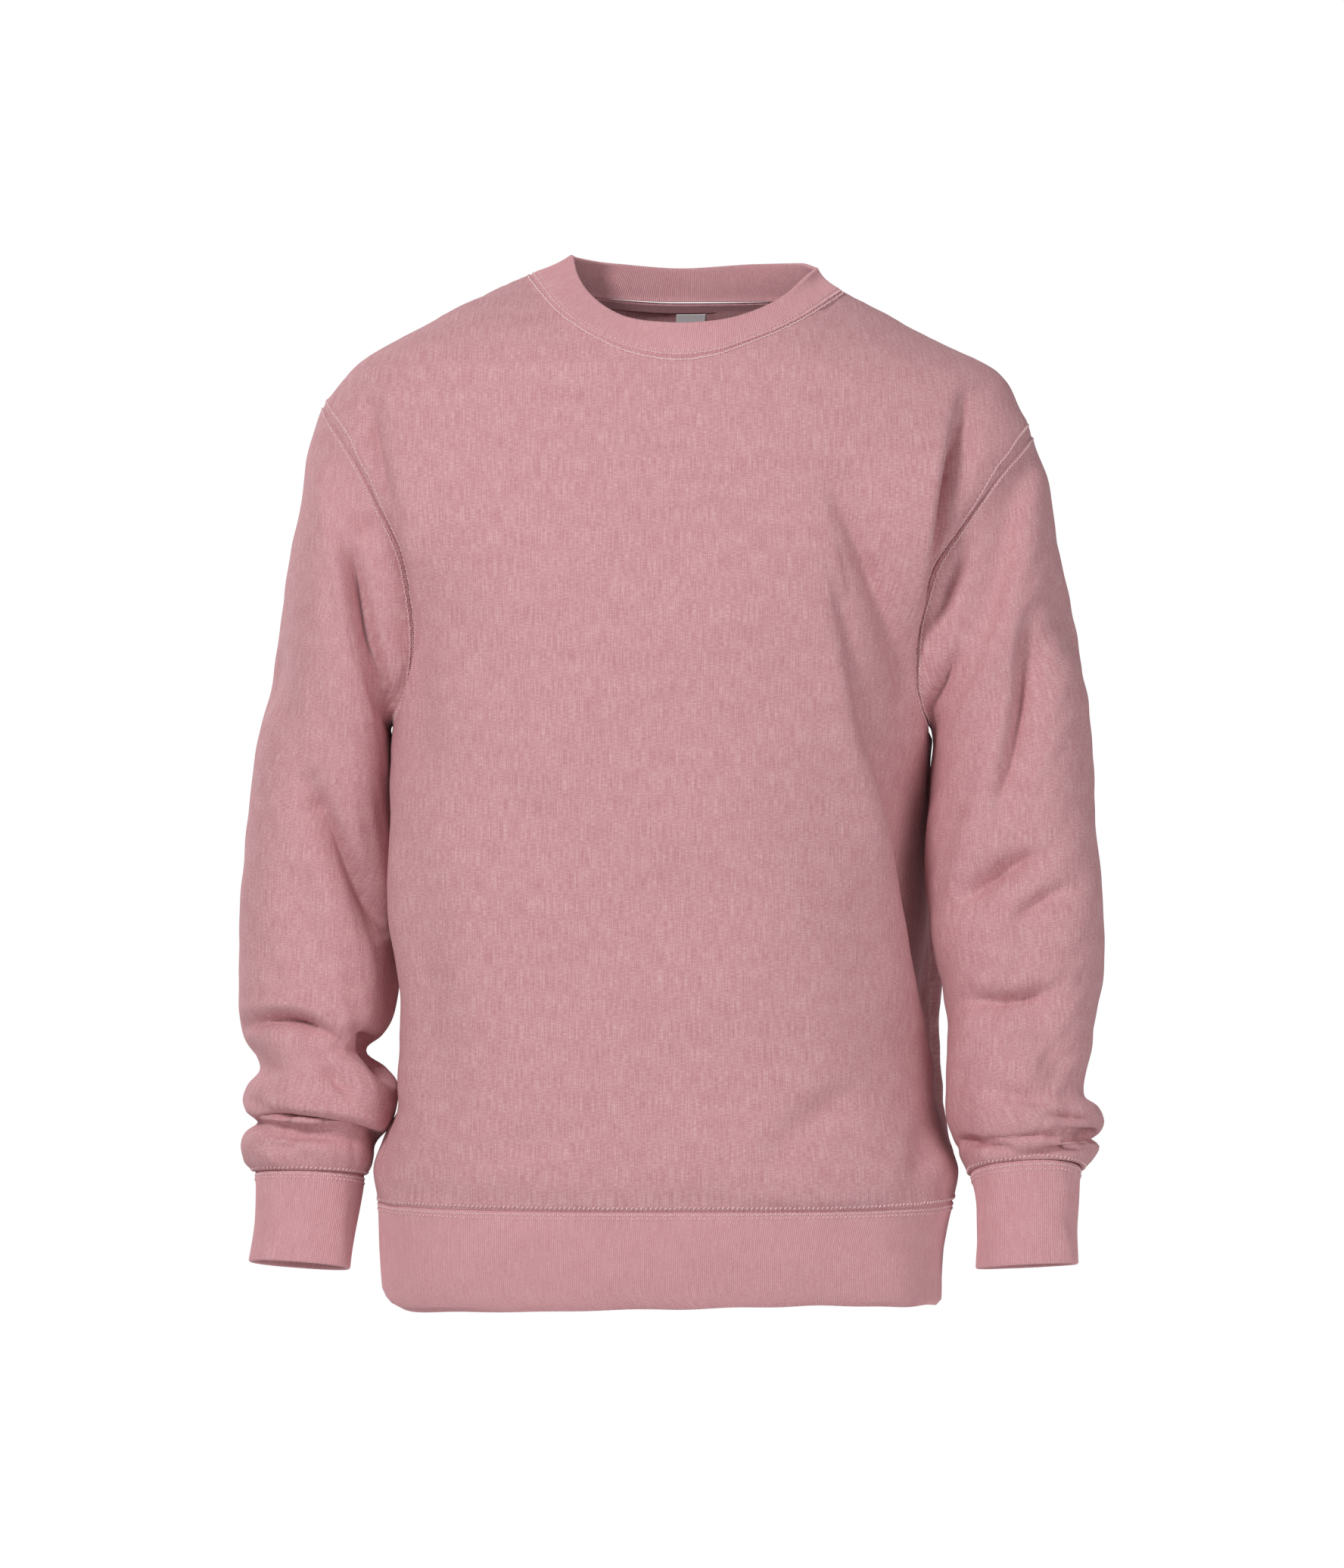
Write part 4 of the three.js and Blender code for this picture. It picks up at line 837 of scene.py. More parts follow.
class Nodes:
    """A short way to add and join the nodes of one material."""

    def __init__(self, name):
        self.material = bpy.data.materials.new(name)
        self.material.use_nodes = True
        self.tree = self.material.node_tree
        self.shader = self.tree.nodes["Principled BSDF"]

    def add(self, kind, inputs=None, **settings):
        node = self.tree.nodes.new("ShaderNode" + kind)
        for key, value in settings.items():
            setattr(node, key, value)
        for key, value in (inputs or {}).items():
            if isinstance(value, bpy.types.NodeSocket):
                self.tree.links.new(value, node.inputs[key])
            else:
                node.inputs[key].default_value = value
        return node

    def link(self, a, b):
        self.tree.links.new(a, b)

    def noise(self, uv, across, up, detail=2.0, roughness=0.5):
        """Noise with marks that are so many millimetres across and up."""
        scaled = self.add("Mapping", {"Vector": uv, "Scale": (1 / (across * MM), 1 / (up * MM), 1)})
        inputs = {"Vector": scaled.outputs[0], "Scale": 1.0, "Detail": detail, "Roughness": roughness}
        return self.add("TexNoise", inputs, noise_dimensions="2D").outputs["Fac"]

    def math(self, operation, a, b=0.0, c=0.0):
        return self.add("Math", {0: a, 1: b, 2: c}, operation=operation).outputs[0]

    def scaled(self, value, low, high, to_low, to_high):
        inputs = {"Value": value, "From Min": low, "From Max": high, "To Min": to_low, "To Max": to_high}
        return self.add("MapRange", inputs).outputs[0]

    def blend(self, fac, a, b):
        node = self.add("Mix", {"Factor": fac}, data_type="RGBA")
        for index, value in ((6, a), (7, b)):
            if isinstance(value, bpy.types.NodeSocket):
                self.link(value, node.inputs[index])
            else:
                node.inputs[index].default_value = value
        return node.outputs[2]

    def bump(self, height, strength, distance):
        node = self.add("Bump", {"Height": height, "Strength": strength, "Distance": distance * MM})
        self.link(node.outputs[0], self.shader.inputs["Normal"])


def cloth_shader(nodes, roughness, sheen):
    nodes.shader.inputs["Roughness"].default_value = roughness
    nodes.shader.inputs["Specular IOR Level"].default_value = 0.15
    nodes.shader.inputs["Sheen Weight"].default_value = sheen
    nodes.shader.inputs["Sheen Roughness"].default_value = 0.55
    nodes.shader.inputs["Sheen Tint"].default_value = srgb(236, 205, 208)


# %% Heather pink yarn
PINK_DARK = srgb(178, 118, 125)
PINK = srgb(204, 152, 157)
PINK_LIGHT = srgb(232, 196, 198)
# painted shade: the darker pink that the rib grooves are tinted towards
GROOVE_PAINTED_SHADE = srgb(180, 120, 127)
PINK_THREAD = srgb(242, 210, 212)
LABEL_WHITE = srgb(250, 249, 250)


def heather(nodes, uv):
    """The yarn's colour: upright wales, short sideways flecks and soft blotches."""
    wales = nodes.noise(uv, 0.6, 16.0, 1.0)
    flecks = nodes.noise(uv, 3.6, 0.8, 1.5)
    blotches = nodes.noise(uv, 16.0, 9.0, 2.0)
    fine = nodes.scaled(wales, 0.3, 0.7, -0.5, 0.5)
    short = nodes.scaled(flecks, 0.3, 0.7, -0.5, 0.5)
    wide = nodes.scaled(blotches, 0.3, 0.7, -0.5, 0.5)
    tone = nodes.math("MULTIPLY_ADD", fine, 0.3, 0.5)
    tone = nodes.math("MULTIPLY_ADD", short, 0.28, tone)
    tone = nodes.math("MULTIPLY_ADD", wide, 0.09, tone)
    dark = nodes.blend(nodes.scaled(tone, 0.0, 0.5, 0, 1), PINK_DARK, PINK)
    return nodes.blend(nodes.scaled(tone, 0.5, 1.0, 0, 0.8), dark, PINK_LIGHT), fine, short


def fleece_material():
    nodes = Nodes("fleece")
    uv = nodes.add("UVMap", uv_map="cut").outputs[0]
    colour, wales, flecks = heather(nodes, uv)
    nodes.link(colour, nodes.shader.inputs["Base Color"])
    pile = nodes.noise(uv, 1.4, 1.6, 2.0)
    height = nodes.math("MULTIPLY_ADD", pile, 0.6, nodes.math("MULTIPLY_ADD", flecks, 0.3, wales))
    nodes.bump(height, 0.18, 0.25)
    cloth_shader(nodes, 0.92, 0.18)
    return nodes.material


RIB_PITCH = 1.35  # from one rib to the next


def rib_material():
    nodes = Nodes("rib_knit")
    uv = nodes.add("UVMap", uv_map="cut").outputs[0]
    colour, _, flecks = heather(nodes, uv)
    across = nodes.add("SeparateXYZ", {0: uv}).outputs[0]
    wave = nodes.math("COSINE", nodes.math("MULTIPLY", across, 2 * math.pi / (RIB_PITCH * MM)))
    lighter = nodes.blend(0.34, colour, srgb(246, 190, 196))
    # painted shade in the rib grooves: the colour darkens where the rib wave is low, on top of the real ridges
    shade = nodes.scaled(wave, -1.0, 0.2, 0.38, 0.0)
    nodes.link(nodes.blend(shade, lighter, GROOVE_PAINTED_SHADE), nodes.shader.inputs["Base Color"])
    nodes.bump(nodes.math("MULTIPLY_ADD", flecks, 0.5, wave), 0.4, 0.25)
    cloth_shader(nodes, 0.9, 0.15)
    return nodes.material


def thread_material():
    nodes = Nodes("thread")
    place = nodes.add("TexCoord").outputs["Object"]
    speckle = nodes.add("TexNoise", {"Vector": place, "Scale": 900.0, "Detail": 1.0}).outputs["Fac"]
    colour = nodes.blend(nodes.scaled(speckle, 0.35, 0.65, 0, 1), srgb(226, 184, 188), PINK_THREAD)
    nodes.link(colour, nodes.shader.inputs["Base Color"])
    nodes.bump(speckle, 0.3, 0.15)
    cloth_shader(nodes, 0.7, 0.2)
    return nodes.material


def tape_material():
    """Herringbone: twill lines that turn back at each column."""
    nodes = Nodes("herringbone_tape")
    uv = nodes.add("UVMap", uv_map="cut").outputs[0]
    parts = nodes.add("SeparateXYZ", {0: uv}).outputs
    column = nodes.math("PINGPONG", parts[0], 2.2 * MM)
    slant = nodes.math("ADD", nodes.math("MULTIPLY", column, 1.0), parts[1])
    line = nodes.math("SINE", nodes.math("MULTIPLY", slant, 2 * math.pi / (1.1 * MM)))
    colour = nodes.blend(nodes.scaled(line, -0.8, 0.8, 0, 1), srgb(186, 128, 134), srgb(222, 180, 184))
    nodes.link(colour, nodes.shader.inputs["Base Color"])
    nodes.bump(line, 0.4, 0.2)
    cloth_shader(nodes, 0.8, 0.1)
    return nodes.material


def label_material():
    nodes = Nodes("woven_label")
    uv = nodes.add("UVMap", uv_map="cut").outputs[0]
    weave = nodes.noise(uv, 0.3, 0.5, 1.0)
    colour = nodes.blend(nodes.scaled(weave, 0.3, 0.7, 0, 1), srgb(242, 241, 243), LABEL_WHITE)
    nodes.link(colour, nodes.shader.inputs["Base Color"])
    nodes.bump(weave, 0.2, 0.1)
    cloth_shader(nodes, 0.6, 0.0)
    return nodes.material


fleece, rib, thread, tape, label = (
    fleece_material(), rib_material(), thread_material(), tape_material(), label_material()
)
print("materials:", [m.name for m in (fleece, rib, thread, tape, label)])

# %% [markdown]
# ## Front and back
# Each body panel is one fine grid on the body's form, with its folds pressed in, a little unevenness, and its
# edges drawn down into the seams. A Solidify modifier gives it the real thickness of the fleece, inward.

# %% Directions on the form
def form_normals(points, face):
    """Outward unit normals of the body form at points on it, whatever grid they belong to."""
    x, z = points[..., 0], np.minimum(points[..., 2], -0.6)
    turn = turn_of(x, z, face)
    form = body_at(z)
    aside = on_section(form, z, turn + 0.5) - on_section(form, z, turn - 0.5)
    upward = on_section(body_at(z + 0.5), z + 0.5, turn) - on_section(body_at(z - 0.5), z - 0.5, turn)
    n = np.cross(aside, upward)
    return n / np.maximum(np.linalg.norm(n, axis=-1, keepdims=True), 1e-9)


def level_distances(points, face, u):
    """The knit's own coordinates: how far round the body from its middle, and how far up."""
    x, z = points[..., 0], points[..., 2]
    form = {name: column[..., None] for name, column in body_at(z).items()}
    turn, middle = turn_of(x, z, face), turn_of(np.full_like(x, NECK_CENTRE_X), z, face)
    turns = mix(middle[..., None], turn[..., None], np.linspace(0, 1, 33))
    line = on_section(form, z[..., None], turns)
    far = np.linalg.norm(np.diff(line, axis=-2), axis=-1).sum(axis=-1)
    shoulder = np.argmin(np.abs(u + NECK_CORNER[face]))
    up = across_and_up(points)[1][:, shoulder]
    return np.sign(x - NECK_CENTRE_X) * far, np.interp(z, np.maximum.accumulate(z[:, shoulder]), up)


# %% Body panels
FLEECE = 2.0
PANEL_COLUMNS = {"front": 28, "back": 26}  # of the solid, which fade its folds near the seams
SEEN_FADE = 10  # small creases fade over this many millimetres from a seam


def panel_grid(face):
    corner = NECK_CORNER[face]
    side = np.concatenate([np.linspace(0.42, 0.985, 78), 1 - np.array([0.009, 0.005, 0.002, 0])])
    u = np.concatenate([-side, side, np.linspace(-0.42, 0.42, 44), [-corner, corner]])
    u = np.unique(u.round(6))
    low = np.unique(np.concatenate([np.linspace(0, 1, 105)[:-1], [0.0025, 0.006]]))
    k = np.linspace(0, 1, 91)
    high = np.unique(np.concatenate([1 - (1 - k) ** 0.714, 1 - np.array([0.004, 0.011, 0.02])]))
    return u, np.concatenate([low, 1 + high])


def panel_cloth(face, folds, creases, outward, seed):
    u, v = panel_grid(face)
    points = panel_surface(face, u[None, :], v[:, None])
    normals = form_normals(points, face)
    round_it, rise = level_distances(points, face, u)
    across, up = across_and_up(points)
    from_side = np.minimum(across - across[:, :1], across[:, -1:] - across)
    from_end = np.minimum(up, up[-1:] - up)
    steps = np.minimum(np.minimum(13 * v, 26 - 13 * v)[:, None], PANEL_COLUMNS[face] * (1 - np.abs(u)) / 2)
    move = fold_depth(folds, points[..., 0], points[..., 2]) * smooth(steps / 2.2)
    x, z = seen(points) if face == "front" else (points[..., 0], points[..., 2])
    near_edge = smooth(np.minimum(from_side, from_end) / SEEN_FADE)
    move += CREASE_DEPTH * fold_depth(creases, x, z) * near_edge
    move += (unevenness(round_it, rise, seed, 95, 1.5) + unevenness(round_it, rise, seed + 1, 34, 0.35)) * near_edge
    for along, away, number in ((round_it, up, 1), (round_it, up[-1:] - up, 2), (rise, from_side, 3)):
        move += pucker(along, away, seed + 10 * number)
    move += np.maximum(seam_dip(from_end), armhole_dip(points[..., 2], from_side))
    points = points - normals * move[..., None]
    knit = np.stack([round_it, rise], -1)
    return {"points": points, "normals": normals, "across": across, "up": up, "u": u, "knit": knit}


def panel_piece(name, cloth, node):
    mesh = new_mesh(name, cloth["points"], cloth["knit"])
    face_out(mesh, np.array([0, 0, -0.35]))
    piece = add_piece(name, mesh, fleece, node)
    thicken(piece, FLEECE)
    return piece


front = panel_cloth("front", front_folds, front_creases, 1, 11)
back = panel_cloth("back", back_folds, back_creases, -1, 21)
front_piece = panel_piece("front_fleece", front, "front_panel")
back_piece = panel_piece("back_fleece", back, "back_panel")


# %% [markdown]
# ## Sleeves
# A sleeve is a tube whose grid opens at the underarm, where its real seam lies and the knit may jump. Its front
# and back carry their own folds, and both fade out on the top and bottom lines.

# %% Sleeves
def around(points):
    """Distances round a tube from its first column, and along it, in millimetres."""
    step = np.linalg.norm(np.diff(points, axis=1), axis=-1)
    across = np.concatenate([np.zeros((len(points), 1)), np.cumsum(step, axis=1)], axis=1)
    step_up = np.linalg.norm(np.diff(points, axis=0), axis=-1)
    up = np.concatenate([np.zeros((1, points.shape[1])), np.cumsum(step_up, axis=0)], axis=0)
    return across, up


def tube_cut(points, up, side):
    """The knit's own coordinates on a sleeve: wales along its axis, and level courses."""
    rows = table(SLEEVE_NAMES, sleeve_sections[side])
    middle_z = (rows["outZ"] + rows["inZ"])[::-1] / 2
    z = points[..., 2]
    centre = np.interp(z, middle_z, (rows["outX"] + rows["inX"])[::-1] / 2)
    half = np.abs(np.interp(z, middle_z, (rows["outX"] - rows["inX"])[::-1] / 2))
    deep = np.interp(z, middle_z, (rows["front"] + rows["back"])[::-1] / 2)
    outward = -1 if side == "right" else 1
    turn = np.arctan2((points[..., 1] - np.interp(z, middle_z, rows["mid"][::-1])) / deep,
                      outward * (points[..., 0] - centre) / half)
    turn = np.unwrap(turn, axis=1)
    turn -= 2 * np.pi * np.rint(turn[:, [points.shape[1] // 2]] / (2 * np.pi))
    ring_z, level = z.mean(axis=1), (up[-1:] - up).mean(axis=1)
    to_end = np.interp(z, ring_z[::-1], level[::-1]) + np.maximum(0, z - ring_z[0])
    in_rolls = 1 - smooth((level - 90) / 60)
    return np.stack([turn * 60, -mix(to_end, level[:, None], in_rolls[:, None])], -1)


def sleeve_cloth(side, outward, seed):
    t = np.concatenate([np.linspace(0, 0.5, 67), np.linspace(0.5, 1, 101)[1:]])
    share = (t + 0.5) % 1
    points = sleeve_surface(side, share, 2.1)
    points[:, -1] = points[:, 0]
    normals = ring_normals(points, outward)
    across, up = around(points)
    knit = tube_cut(points, up, side)
    to_end = up[-1:] - up
    hold = smooth(np.minimum(up / 50, to_end / 20))
    on_front = ramp(share, 0, 0.038) * (1 - ramp(share, 0.4615, 0.5))
    on_back = ramp(share, 0.5, 0.5385) * (1 - ramp(share, 0.9615, 1))
    back_set = sleeve_back_folds if side == "right" else mirrored(sleeve_back_folds)
    back_small = sleeve_back_creases if side == "right" else mirrored(sleeve_back_creases)
    x, z = points[..., 0], points[..., 2]
    seen_x, seen_z = seen(points)
    front_move = fold_depth(sleeve_front_folds[side], x, z) * hold
    front_small = fold_depth(sleeve_creases[side], seen_x, seen_z)
    front_move += CREASE_DEPTH * front_small * smooth(np.minimum(up, to_end) / 8)
    back_move = fold_depth(back_set, x, z) * hold
    back_move += CREASE_DEPTH * fold_depth(back_small, x, z) * smooth(np.minimum(up, to_end) / 8)
    move = front_move * on_front + back_move * on_back
    round_x = np.cos(2 * np.pi * share) * 60
    round_y = np.sin(2 * np.pi * share) * 60
    near_edge = smooth(np.minimum(up, to_end) / SEEN_FADE)
    swell = unevenness(round_x, up + round_y, seed, 80, 1.3) + unevenness(round_x + round_y, up, seed + 1, 30, 0.4)
    move += swell * near_edge
    for away, number in ((up, 1), (to_end, 2)):
        move += pucker(across, away, seed + 10 * number)
    move += seam_dip(to_end)
    edge = points[:1]
    body_out = np.where((share < 0.5)[:, None], form_normals(edge, "front"), form_normals(edge, "back"))
    into_body = body_out * armhole_dip(edge[..., 2], up)[..., None]
    points = points - normals * move[..., None] - into_body
    points[:, -1] = points[:, 0]
    return {"points": points, "normals": ring_normals(points, outward), "up": up, "knit": knit}


def sleeve_piece(name, cloth, node):
    mesh = new_mesh(name, cloth["points"], cloth["knit"], ring=True)
    piece = add_piece(name, mesh, fleece, node)
    thicken(piece, FLEECE)
    return piece


sleeves = {"right": sleeve_cloth("right", -1, 31), "left": sleeve_cloth("left", 1, 41)}
sleeve_right_piece = sleeve_piece("sleeve_right_fleece", sleeves["right"], "sleeve_right")
sleeve_left_piece = sleeve_piece("sleeve_left_fleece", sleeves["left"], "sleeve_left")


# %% [markdown]
# ## Rib knit
# A 1x1 rib is a row of narrow ridges, each 1.35 mm from the next, folded double at its free edge. Every rib is
# real geometry here, four columns of points wide: the band's outer side, its round fold, and the side inside.

# %% Rib bands
RIB = 2.6  # thickness of the doubled rib
RIB_RIDGE = 0.15
TIP_TURNS = (35, 70, 105, 145)  # degrees round the fold


def rib_count(points):
    return round(np.linalg.norm(np.diff(points, axis=0), axis=-1).sum() / RIB_PITCH)


def even_shares(curve, start, end, count):
    """Shares from start to end that lie evenly spaced along a closed or open curve of points."""
    fine = np.linspace(start, end, 4001)
    points = curve(fine)
    length = np.concatenate([[0], np.cumsum(np.linalg.norm(np.diff(points, axis=0), axis=-1))])
    return np.interp(np.linspace(0, length[-1], count + 1), length, fine)


def rib_band(outer, normals, inner_every=2):
    """A doubled rib from the points of its outer side, which run from its seam to its free edge."""
    ridge = np.cos(np.pi / 2 * np.arange(outer.shape[1]))[:, None] * RIB_RIDGE
    down = outer[-1] - outer[-2]
    down /= np.linalg.norm(down, axis=-1, keepdims=True)
    n = normals[-1]
    rows = [outer[j] + normals[j] * ridge for j in range(len(outer))]
    for turn in np.radians(TIP_TURNS):
        out = np.cos(turn) * n + np.sin(turn) * down
        rows.append(outer[-1] - n * RIB / 2 + out * (RIB / 2 + ridge))
    for j in range(len(outer) - 1, -1, -inner_every):
        rows.append(outer[j] - normals[j] * (RIB + ridge))
    rows.append(rows[0])
    points = np.array(rows)
    points[:, -1] = points[:, 0]
    step_up = np.linalg.norm(np.diff(points, axis=0), axis=-1).mean(axis=1)
    up = np.concatenate([[0], np.cumsum(step_up)])
    across = np.arange(outer.shape[1]) * RIB_PITCH / 4
    uv = np.stack(np.broadcast_arrays(across[None, :], up[:, None]), -1)
    return points, uv


def band_piece(name, outer, normals, node, inner_every=2):
    points, uv = rib_band(outer, normals, inner_every)
    mesh = new_mesh(name, points, uv, ring=True, section=True)
    return add_piece(name, mesh, rib, node)


# %% Hem band
hem_rows = np.array([0, 0.012, 0.03, 0.06, 0.12, 0.2, 0.32, 0.46, 0.6, 0.72, 0.82, 0.9, 0.95, 1.0])
hem_line = lambda share: hem_surface(share, np.full_like(share, 0.3))
hem_ribs = rib_count(hem_line(np.linspace(0, 0.9999, 2000)))
hem_shares = even_shares(hem_line, 0, 1, 4 * hem_ribs) % 1
hem_outer = np.array([hem_surface(hem_shares, np.full_like(hem_shares, at)) for at in hem_rows])
hem_outer[:, -1] = hem_outer[:, 0]
hem_normals = ring_normals(hem_outer, -1)
hem_up = np.concatenate([[0], np.cumsum(np.linalg.norm(np.diff(hem_outer, axis=0), axis=-1).mean(axis=1))])
turn_round = 2 * np.pi * np.arange(hem_outer.shape[1]) / (hem_outer.shape[1] - 1)
hem_swell = unevenness(np.cos(turn_round)[None, :] * 150, hem_up[:, None] + np.sin(turn_round) * 150, 51, 60, 0.8)
hem_move = hem_swell * smooth(hem_up / 12)[:, None] + seam_dip(hem_up)[:, None]
hem_outer = hem_outer - hem_normals * hem_move[..., None]
hem_piece = band_piece("hem_rib_knit", hem_outer, hem_normals, "hem_band")
print("hem ribs:", hem_ribs)


# %% Cuffs
def cuff_band(side, outward, seed):
    ring = lambda share: cuff_surface(side, share % 1, 5.0)[6]
    ribs = rib_count(ring(np.linspace(0, 0.9999, 1000)))
    share = even_shares(ring, 0.5, 1.5, 4 * ribs) % 1
    rows = cuff_surface(side, share, 4.0)
    close = between(rows[0], rows[0], rows[1], rows[2], 0.35)
    rows = np.concatenate([rows[:1], close[None], rows[1:]])
    rows[:, -1] = rows[:, 0]
    normals = ring_normals(rows, outward)
    up = np.concatenate([[0], np.cumsum(np.linalg.norm(np.diff(rows, axis=0), axis=-1).mean(axis=1))])
    turn = 2 * np.pi * share
    swell = unevenness(np.cos(turn)[None, :] * 50, up[:, None] + np.sin(turn) * 50, seed, 40, 0.6)
    move = swell * smooth(up / 10)[:, None] + seam_dip(up)[:, None]
    return {"points": rows - normals * move[..., None], "normals": normals, "up": up, "ribs": ribs}


cuffs = {"right": cuff_band("right", -1, 61), "left": cuff_band("left", 1, 62)}
cuff_right_piece = band_piece("cuff_right_rib_knit", cuffs["right"]["points"], cuffs["right"]["normals"], "cuff_right")
cuff_left_piece = band_piece("cuff_left_rib_knit", cuffs["left"]["points"], cuffs["left"]["normals"], "cuff_left")
print("cuff ribs:", cuffs["right"]["ribs"], cuffs["left"]["ribs"])

# %% Neck rib
collar_rows = np.array([0, 0.03, 0.08, 0.16, 0.26, 0.38, 0.5, 0.62, 0.74, 0.85, 0.94, 1.0])
collar_ring = lambda turn: collar_surface(turn % 360, 0.45)
collar_ribs = rib_count(collar_ring(np.linspace(0, 359.99, 2000)))
collar_turns = even_shares(collar_ring, 0, 360, 4 * collar_ribs) % 360
collar_outer = np.array([collar_surface(collar_turns, share) for share in collar_rows])
collar_outer[:, -1] = collar_outer[:, 0]
collar_normals = ring_normals(collar_outer, 1)
collar_up = np.linalg.norm(np.diff(collar_outer, axis=0), axis=-1).mean(axis=1)
collar_up = np.concatenate([[0], np.cumsum(collar_up)])
collar_outer = collar_outer - collar_normals * seam_dip(collar_up)[:, None, None]
collar_piece = band_piece("neck_rib_knit", collar_outer, collar_normals, "neck_rib", inner_every=1)
print("neck ribs:", collar_ribs)

# %% [markdown]
# ## Cover stitch
# Every seam is sewn flat with a cover stitch in a lighter thread: rows of short slanted stitches on both sides of
# the sunken seam. Each stitch is a small low-poly grain of thread, laid on the cloth at an even pitch. A texture
# could only paint them, and they stand proud enough to catch the light.

# %% Stitches
GRAIN_SEGMENTS = 1  # subdivisions of an icosphere, 20 faces each at 1


def line_on(points, normals, from_edge, distance):
    """The line on a grid that lies at a distance from its first row, with the normals there."""
    at = np.argmax(from_edge >= distance, axis=0)
    column = np.arange(points.shape[1])
    below, above = from_edge[at - 1, column], from_edge[at, column]
    t = ((distance - below) / np.maximum(above - below, 1e-9))[:, None]
    return mix(points[at - 1, column], points[at, column], t), mix(normals[at - 1, column], normals[at, column], t)


class Thread:
    """Collects the stitches of one seam into one mesh."""

    def __init__(self, name):
        self.name = name
        self.bm = bmesh.new()
        self.count = 0

    def row(self, line, normals, pitch, length, width, slant, turn_about=False):
        """Stitches at a pitch along a line, in millimetres. slant is in degrees, and turn_about makes a zigzag."""
        step = np.linalg.norm(np.diff(line, axis=0), axis=-1)
        reached = np.concatenate([[0], np.cumsum(step)])
        places = np.arange(pitch / 2, reached[-1], pitch)
        at = np.stack([np.interp(places, reached, line[:, k]) for k in range(3)], -1)
        ahead = np.stack([np.interp(places + 0.8, reached, line[:, k]) for k in range(3)], -1)
        behind = np.stack([np.interp(places - 0.8, reached, line[:, k]) for k in range(3)], -1)
        out = np.stack([np.interp(places, reached, normals[:, k]) for k in range(3)], -1)
        jitter = rng.normal(0, 1, (len(places), 3))
        for k, place in enumerate(at):
            along = Vector(ahead[k] - behind[k]).normalized()
            up = Vector(out[k]).normalized()
            side = up.cross(along).normalized()
            angle = math.radians(slant * (-1 if turn_about and k % 2 else 1) + 5 * jitter[k, 0])
            lean = (along * math.cos(angle) + side * math.sin(angle)).normalized()
            cross = up.cross(lean).normalized()
            long = length / 2 * (1 + 0.08 * jitter[k, 1])
            frame_of = Matrix((lean * long, cross * width / 2, up * width * 0.42)).transposed().to_4x4()
            frame_of.translation = Vector(place) + up * (width * 0.26) + side * 0.12 * jitter[k, 2]
            bmesh.ops.create_icosphere(
                self.bm, subdivisions=GRAIN_SEGMENTS, radius=1, matrix=Matrix.Scale(MM, 4) @ frame_of
            )
            self.count += 1

    def piece(self):
        mesh = bpy.data.meshes.new(self.name)
        bmesh.ops.recalc_face_normals(self.bm, faces=self.bm.faces)
        self.bm.to_mesh(mesh)
        self.bm.free()
        mesh.polygons.foreach_set("use_smooth", np.ones(len(mesh.polygons), dtype=bool))
        print(self.name, "stitches:", self.count)
        return add_piece(self.name, mesh, thread)


def edge_first(cloth, edge):
    """A cloth's grid turned so that one sewn edge is its first row, with the distances from that edge."""
    points, normals = cloth["points"], cloth["normals"]
    if edge == "bottom":
        return points, normals, cloth["up"]
    if edge == "top":
        return points[::-1], normals[::-1], cloth["up"][-1:] - cloth["up"][::-1]
    points, normals = points.transpose(1, 0, 2), normals.transpose(1, 0, 2)
    across = cloth["across"].T
    if edge == "right side":
        return points, normals, across - across[:1]
    return points[::-1], normals[::-1], across[-1:] - across[::-1]


def stitch_edge(threads, cloth, edge, keep, rows):
    points, normals, from_edge = edge_first(cloth, edge)
    for distance, pitch, length, width, slant, turn_about in rows:
        line, out = line_on(points, normals, from_edge, distance)
        threads.row(line[keep], out[keep], pitch, length, width, slant, turn_about)


# distance from the seam, pitch, length, width, slant, and whether every other stitch turns about
CHAIN = [(2.5, 1.7, 2.7, 1.25, 18, True)]
SLANTED = [(2.8, 3.1, 3.0, 1.15, 50, False)]
ZIGZAG = [(2.0, 1.6, 2.4, 0.95, 48, True), (4.6, 3.1, 2.0, 1.0, 40, False)]
COLLAR_ROWS = [(1.9, 1.6, 2.3, 0.85, 52, True), (4.3, 3.1, 2.3, 0.85, 6, False)]
ARMHOLE_ROWS = [(2.4, 1.6, 2.5, 1.0, 44, True)]

collar_cloth = {
    "points": collar_outer,
    "normals": collar_normals,
    "up": np.broadcast_to(collar_up[:, None], collar_outer.shape[:2]),
}
hem_cloth = {
    "points": hem_outer,
    "normals": hem_normals,
    "up": np.broadcast_to(hem_up[:, None], hem_outer.shape[:2]),
}
everywhere = slice(None)
neck_thread = Thread("stitching_neck")
stitch_edge(neck_thread, collar_cloth, "bottom", everywhere, COLLAR_ROWS)
for face, cloth in (("front", front), ("back", back)):
    stitch_edge(neck_thread, cloth, "top", np.abs(cloth["u"]) <= NECK_CORNER[face], CHAIN)
neck_stitches = neck_thread.piece()

hem_thread = Thread("stitching_hem")
stitch_edge(hem_thread, hem_cloth, "bottom", everywhere, ZIGZAG)
for cloth in (front, back):
    stitch_edge(hem_thread, cloth, "bottom", everywhere, SLANTED)
hem_stitches = hem_thread.piece()

